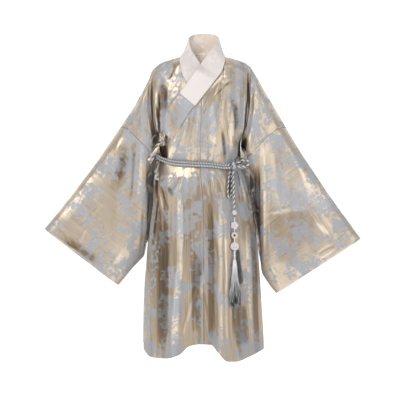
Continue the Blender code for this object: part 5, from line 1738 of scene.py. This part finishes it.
def tassel(name, node, top, length, head, spread, lean, count, thread, binding):
    """Strand k: angle 2.4 k, share sqrt((k + 1/2) / n), and a small wave down its length."""
    head_high, head_radius = head
    deep_head = FLATTENED * head_radius
    drops = np.linspace(0, length, 40)
    share = drops / length
    deep = deep_head + (spread[1] - deep_head) * share
    axis_x = top[0] + lean * share**2
    axis_y = [min(top[1], hang(x, top[2] - d, 2 * w)) for x, d, w in zip(axis_x, drops, deep)]

    def axis(z):
        """Across and depth of the tassel's own line at a height."""
        return np.interp(top[2] - z, drops, axis_x), np.interp(top[2] - z, drops, axis_y)

    p, a = grid(np.linspace(0, 1, 40), full_turn(32))
    wide = read(TASSEL_HEAD, "wide", p) + 0.045 * np.sin(p * 60) * (p > 0.55)
    z = top[2] - p * head_high
    x, y = axis(z)
    x, y = x + wide * head_radius * np.cos(a), y + wide * deep_head * np.sin(a)
    points = np.stack([x, y, z], axis=-1)
    quads = lattice(1, *p.shape, joined_columns=True)
    uv = np.stack([a / 6.28, 0 * p], axis=-1)
    head_obj = build(name + "_head", points, quads, binding, end_caps(points), uv)

    k = np.arange(count)[:, None]
    turn, out = GOLDEN_ANGLE * k, 0.95 * np.sqrt((k + 0.5) / count)
    t = np.linspace(0, 1, STRAND_STEPS)[None, :]
    luck = np.sin(91.7 * k) * 0.5 + 0.5
    root_z = top[2] - head_high + STRAND_ROOT
    foot_z = top[2] - length * (1 - 0.06 * luck - 0.05 * out**2)
    z = root_z + (foot_z - root_z) * t
    opening = ease(1.15 * t) * (1 - 0.22 * ease((t - 0.8) / 0.2))
    open_x = head_radius + (spread[0] - head_radius) * opening
    open_y = deep_head + (spread[1] - deep_head) * t
    sway = 0.0009 * np.sin(5 * t + 12 * luck) * t
    axis_at, depth_at = axis(z)
    x = axis_at + out * open_x * np.cos(turn) + sway
    y = depth_at + out * open_y * np.sin(turn)
    middle = np.stack([x, y, z], axis=-1)
    wide = (0.00085 + 0.0004 * t)[..., None]
    around = turn[..., None] + full_turn(STRAND_SIDES)
    ring = np.stack([wide * np.cos(around), wide * np.sin(around), 0 * wide * around], axis=-1)
    points = middle[:, :, None, :] + ring
    size = STRAND_SIDES * t.size
    first = np.arange(STRAND_SIDES) + size * k
    caps = np.concatenate([first, first[:, ::-1] + size - STRAND_SIDES])
    quads = lattice(count, t.size, STRAND_SIDES, joined_columns=True)
    streak = out * np.cos(turn) + 0.25 * np.sin(7 * k)
    uv = np.stack([streak + 0 * t, 0 * k + t], axis=-1)
    uv = np.broadcast_to(uv[:, :, None, :], (*points.shape[:3], 2))
    strands = build(name + "_strands", points, quads, thread, caps, uv, smooth=False)
    print(name, count, "strands")
    return [settle(obj, "tassel", node) for obj in (head_obj, strands)]


print("turn from strand to strand:", round(math.degrees(GOLDEN_ANGLE), 1), "degrees")

# %% The two tassels
TASSEL_GAP, ASIDE = 0.0004, 0.0125  # clear of what it hangs from; the back one beside the disc
tail_top = (PENDANT_X, hang(PENDANT_X, TAIL_Z, STONE), TAIL_Z - TASSEL_GAP)
below = math.sqrt(DISC_R**2 - (ASIDE - 0.002) ** 2) + TASSEL_GAP
back_top = (PENDANT_X + ASIDE, hang(PENDANT_X, DISC_Z, STONE), DISC_Z - below)
TASSELS = [
    *tassel(
        "front_tassel", "tassel_front", tail_top, 0.184, (0.030, 0.0085), (0.0225, 0.0105),
        0.001, 145, FRONT_THREAD, PALE,
    ),
    *tassel(
        "back_tassel", "tassel_back", back_top, 0.132, (0.020, 0.0070), (0.0140, 0.0075),
        0.009, 75, BACK_THREAD, CHARCOAL,
    ),
]

# %% [markdown]
# ## Ties
# The outer front closes at the wearer's right with two ribbons of the same satin. Their bow is
# crumpled, so each ribbon has small waves across it. A ribbon is a grid between a line and the
# direction in which it lies flat.


# %% Ribbons
RIBBON_STEP = 0.0015


def ribbon(name, node, path_rows, widths, lie, ripple=0.0010, turns=9.0, wall=0.0012):
    """centre(t) + lie(t) v width(t), raised by ripple sin(2 pi (turns t + v)) and by small creases
    that run along it."""
    path_rows, lie = np.array(path_rows, float), unit(np.array(lie, float))
    stations = np.arange(len(path_rows), dtype=float)
    steps = max(24, int(length_of(path_rows) / RIBBON_STEP))
    t, v = grid(np.linspace(0, len(path_rows) - 1, steps), np.linspace(-0.5, 0.5, 13))
    across = curve_through(stations, lie, t) * (v * curve(stations, np.array(widths), t))[..., None]
    points = curve_through(stations, path_rows, t) + across
    share = t / stations[-1]
    wave = np.sin(2 * math.pi * (turns * share + 0.8 * v + 0.3 * np.sin(7 * share)))
    crease = np.sin(2 * math.pi * (1.6 * v + 0.5 * share))
    crease = crease + 0.5 * np.sin(2 * math.pi * (3.1 * v - share))
    normal = surface_normals(points)
    if normal[..., 1].sum() > 0:
        normal = -normal
    rise = ripple * (0.6 * wave + 0.7 * crease) * ease(share / 0.1)
    points = points + normal * rise[..., None]
    uv = np.stack([measured(points, 1), measured(points, 0)], axis=-1) + np.array([0.7, 0.2])
    # Painted light and shade: lighter on the ripples' crests and creases, darker in their troughs,
    # and darker along the ribbon's two edges.
    tone = 0.42 + 0.45 * wave + 0.42 * crease - 0.5 * hump(0.5 - np.abs(v), 0.10)
    quads, _ = facing_out(points, lattice(1, *points.shape[:2]), normal)
    obj = thicken(build(name, points, quads, TIE_SATIN, uv=uv, tone=tone), wall)
    return settle(obj, "satin", node)


print("a ribbon of 86 mm has", max(24, int(0.086 / RIBBON_STEP)), "rows across it")

# %% The ties
TIE_KNOT = Vector((-0.160, 0, -0.336))
TIE_HALF = Vector((0.014, 0.009, 0.021))
TIE_KNOT.y = cloth_at(TIE_KNOT.x, TIE_KNOT.z, -1, OUTER_LAYER)[1] - 0.011
ribbon(
    "tie_ribbon_flat", "tie_end_flat",
    [
        on_ball(TIE_KNOT, TIE_HALF, (-0.75, -0.3, -0.9), 0.0010),
        *beside(TIE_KNOT, (-22, -14, -34), (-37, -20, -60), (-50, -22, -86)),
    ],
    [0.011, 0.019, 0.022, 0.023],
    [(0.9, 0, -0.35), (0.85, 0, -0.5), (0.82, 0, -0.55), (0.80, 0, -0.6)],
    ripple=0.0011, turns=2.5,
)
belt_foot = read_round(BELT, "z", 154) - CORD - 0.0016
ribbon(
    "tie_ribbon_twisted", "tie_end_twisted",
    beside(
        cloth_at(-0.172, belt_foot, -1, OUTER_LAYER + 0.0071),
        (0, 0, 0), (-7, -16, -26), (-11, -24, -52), (-12, -28, -79),
    ),
    [0.018, 0.021, 0.022, 0.022],
    [(0.85, -0.5, 0.1), (0.6, -0.8, 0.1), (0.8, -0.5, -0.2), (0.90, 0.1, -0.45)],
    ripple=0.0016, turns=3.2,
)
ribbon(
    "tie_ribbon_loop", "tie_loop",
    [
        on_ball(TIE_KNOT, TIE_HALF, (-1, -0.1, 0.5), 0.0002),
        *beside(TIE_KNOT, (-24, -6, 18), (-36, -4, 10), (-43, -3, -8), (-38, -6, -24)),
    ],
    [0.008, 0.010, 0.010, 0.010, 0.009],
    [(0.2, -1, 0.2), (0.25, -1, 0.2), (0.3, -1, 0), (0.3, -1, 0), (0.3, -1, 0.1)],
    ripple=0.0004, turns=2.0,
)
core = [half - 0.0015 for half in TIE_HALF]
for name, tilt, shift, width, swell, ripple in (
    ("tie_turn_upright", 84, -0.28, 0.013, 0.98, 0.0009),
    ("tie_turn_second", 100, 0.34, 0.012, 0.96, 0.0009),
    ("tie_turn_waist", 8, 0.0, 0.012, 1.12, 0.0008),
):
    path = ring_path(TIE_KNOT, core, tilt, shift, swell, 13)
    t = math.radians(tilt)
    lie = np.broadcast_to([-math.sin(t), 0, math.cos(t)], path.shape)
    ribbon(name, "tie_knot", path, [width] * len(path), lie, ripple, 5.0)
BOW_WIDTHS = [0.010, 0.015, 0.018, 0.018, 0.017, 0.014, 0.010]
for name, up, high in (("tie_bow_upper", 1, 21), ("tie_bow_lower", -1, 16)):
    rows = [(2, -6, 4), (7, -9, 0.4 * high + 6), (6, -8, 0.9 * high + 6), (-1, -4, high + 8)]
    rows += [(-6, -1, 0.85 * high + 6), (-5, -1, 0.4 * high + 6), (-1, -3, 4)]
    route = beside(TIE_KNOT, *[(x, y, up * z) for x, y, z in rows])
    ribbon(name, "tie_knot", route, BOW_WIDTHS, [(0.9, -0.4, 0.1)] * len(rows))

# %% [markdown]
# ## Attaching the pieces
# The cords that hang free and the sheets of cloth are attached to the robe's body.

# %% Attaching
bow, bow_path, bow_width = FREE_CORDS["belt_bow"]
end_loop, loop_path, loop_width = FREE_CORDS["belt_end_loop"]
for cord in (bow, end_loop, string):
    settle(cord, "cord")
for obj, flat, area in PANELS + SLEEVES + COLLAR:
    settle(obj, "white" if obj.data.materials[0] == WHITE else "satin")
print("declared:", len(PANELS) + len(SLEEVES) + len(COLLAR), "sheets and 3 cords")

# %% [markdown]
# ## Stage and light
# The robe hangs in a pale, plain room with a curved backdrop. A large soft light stands high on
# the left, a weaker one on the right and one above in front. A small spot lights the inside of
# the collar, and the pale room fills the rest.

# %% Stage
FLOOR_Z, FLOOR_FRONT, BACK_Y, BACK_TOP, BEND = -1.46, -7.0, 8.0, 26.0, 2.0
ROOM_GREY, ROOM_GLOW, SKY = (0.9, 0.9, 0.9, 1), 0.62, 0.24


def backdrop():
    across = np.linspace(-36, 36, 3)
    down = np.radians(np.linspace(0, 90, 13))
    y = np.concatenate([[FLOOR_FRONT], BACK_Y - BEND * (1 - np.sin(down)), [BACK_Y]])
    z = np.concatenate([[FLOOR_Z], FLOOR_Z + BEND * (1 - np.cos(down)), [BACK_TOP]])
    points = np.array([[(x, *place) for place in zip(y, z)] for x in across])
    f = Finish("pale room", base_color=ROOM_GREY, roughness=0.9, emission_strength=ROOM_GLOW)
    f.set(emission_color=(1.0, 1.0, 1.0, 1))
    obj = build("backdrop", points, lattice(1, *points.shape[:2]), f.material)
    obj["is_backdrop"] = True
    return obj


def lamp(name, place, aim, size, power, colour=(1, 1, 1)):
    data = bpy.data.lights.new(name, "AREA")
    data.shape, data.size, data.energy, data.color = "SQUARE", size, power, colour
    obj = bpy.data.objects.new(name, data)
    obj.location = place
    obj.rotation_euler = (Vector(aim) - Vector(place)).to_track_quat("-Z", "Y").to_euler()
    bpy.context.scene.collection.objects.link(obj)
    return obj


backdrop()
CHEST, MIDDLE, SOFT_BOX = (0, 0, -0.3), (0, 0, -0.6), 1.6
lamp("key", (-2.2, -3.2, 1.9), MIDDLE, SOFT_BOX, 78, (1.0, 0.985, 0.965))
lamp("fill", (3.0, -3.0, 0.2), MIDDLE, SOFT_BOX, 24)
lamp("top", (0.2, -2.2, 2.4), CHEST, SOFT_BOX, 26)
in_neck = lamp("neck", (-0.55, -2.2, 0.20), (0.0, 0.05, 0.02), 0.3, 24, (1.0, 0.97, 0.93))
in_neck.data.type = "SPOT"
spot = in_neck.data
spot.spot_size, spot.spot_blend, spot.shadow_soft_size = 0.13, 0.8, 0.12
world = bpy.data.worlds.new("pale room")
world.use_nodes = True
sky = world.node_tree.nodes["Background"].inputs
sky[0].default_value, sky[1].default_value = (1, 1, 1, 1), SKY
bpy.context.scene.world = world
bpy.context.scene.view_settings.view_transform = "Standard"

# %% [markdown]
# ## Size and end
# How far the finished piece reaches beyond the box of its solids is printed.

# %% Finish
sizes = {"cad": [list(map(float, corner)) for corner in cad_box]}
sizes["visual"] = [list(map(float, corner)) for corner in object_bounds()]
grown = np.array(sizes["visual"]) - np.array(sizes["cad"])
print("beyond the solids' box, mm:", np.round(1000 * grown, 1).tolist())
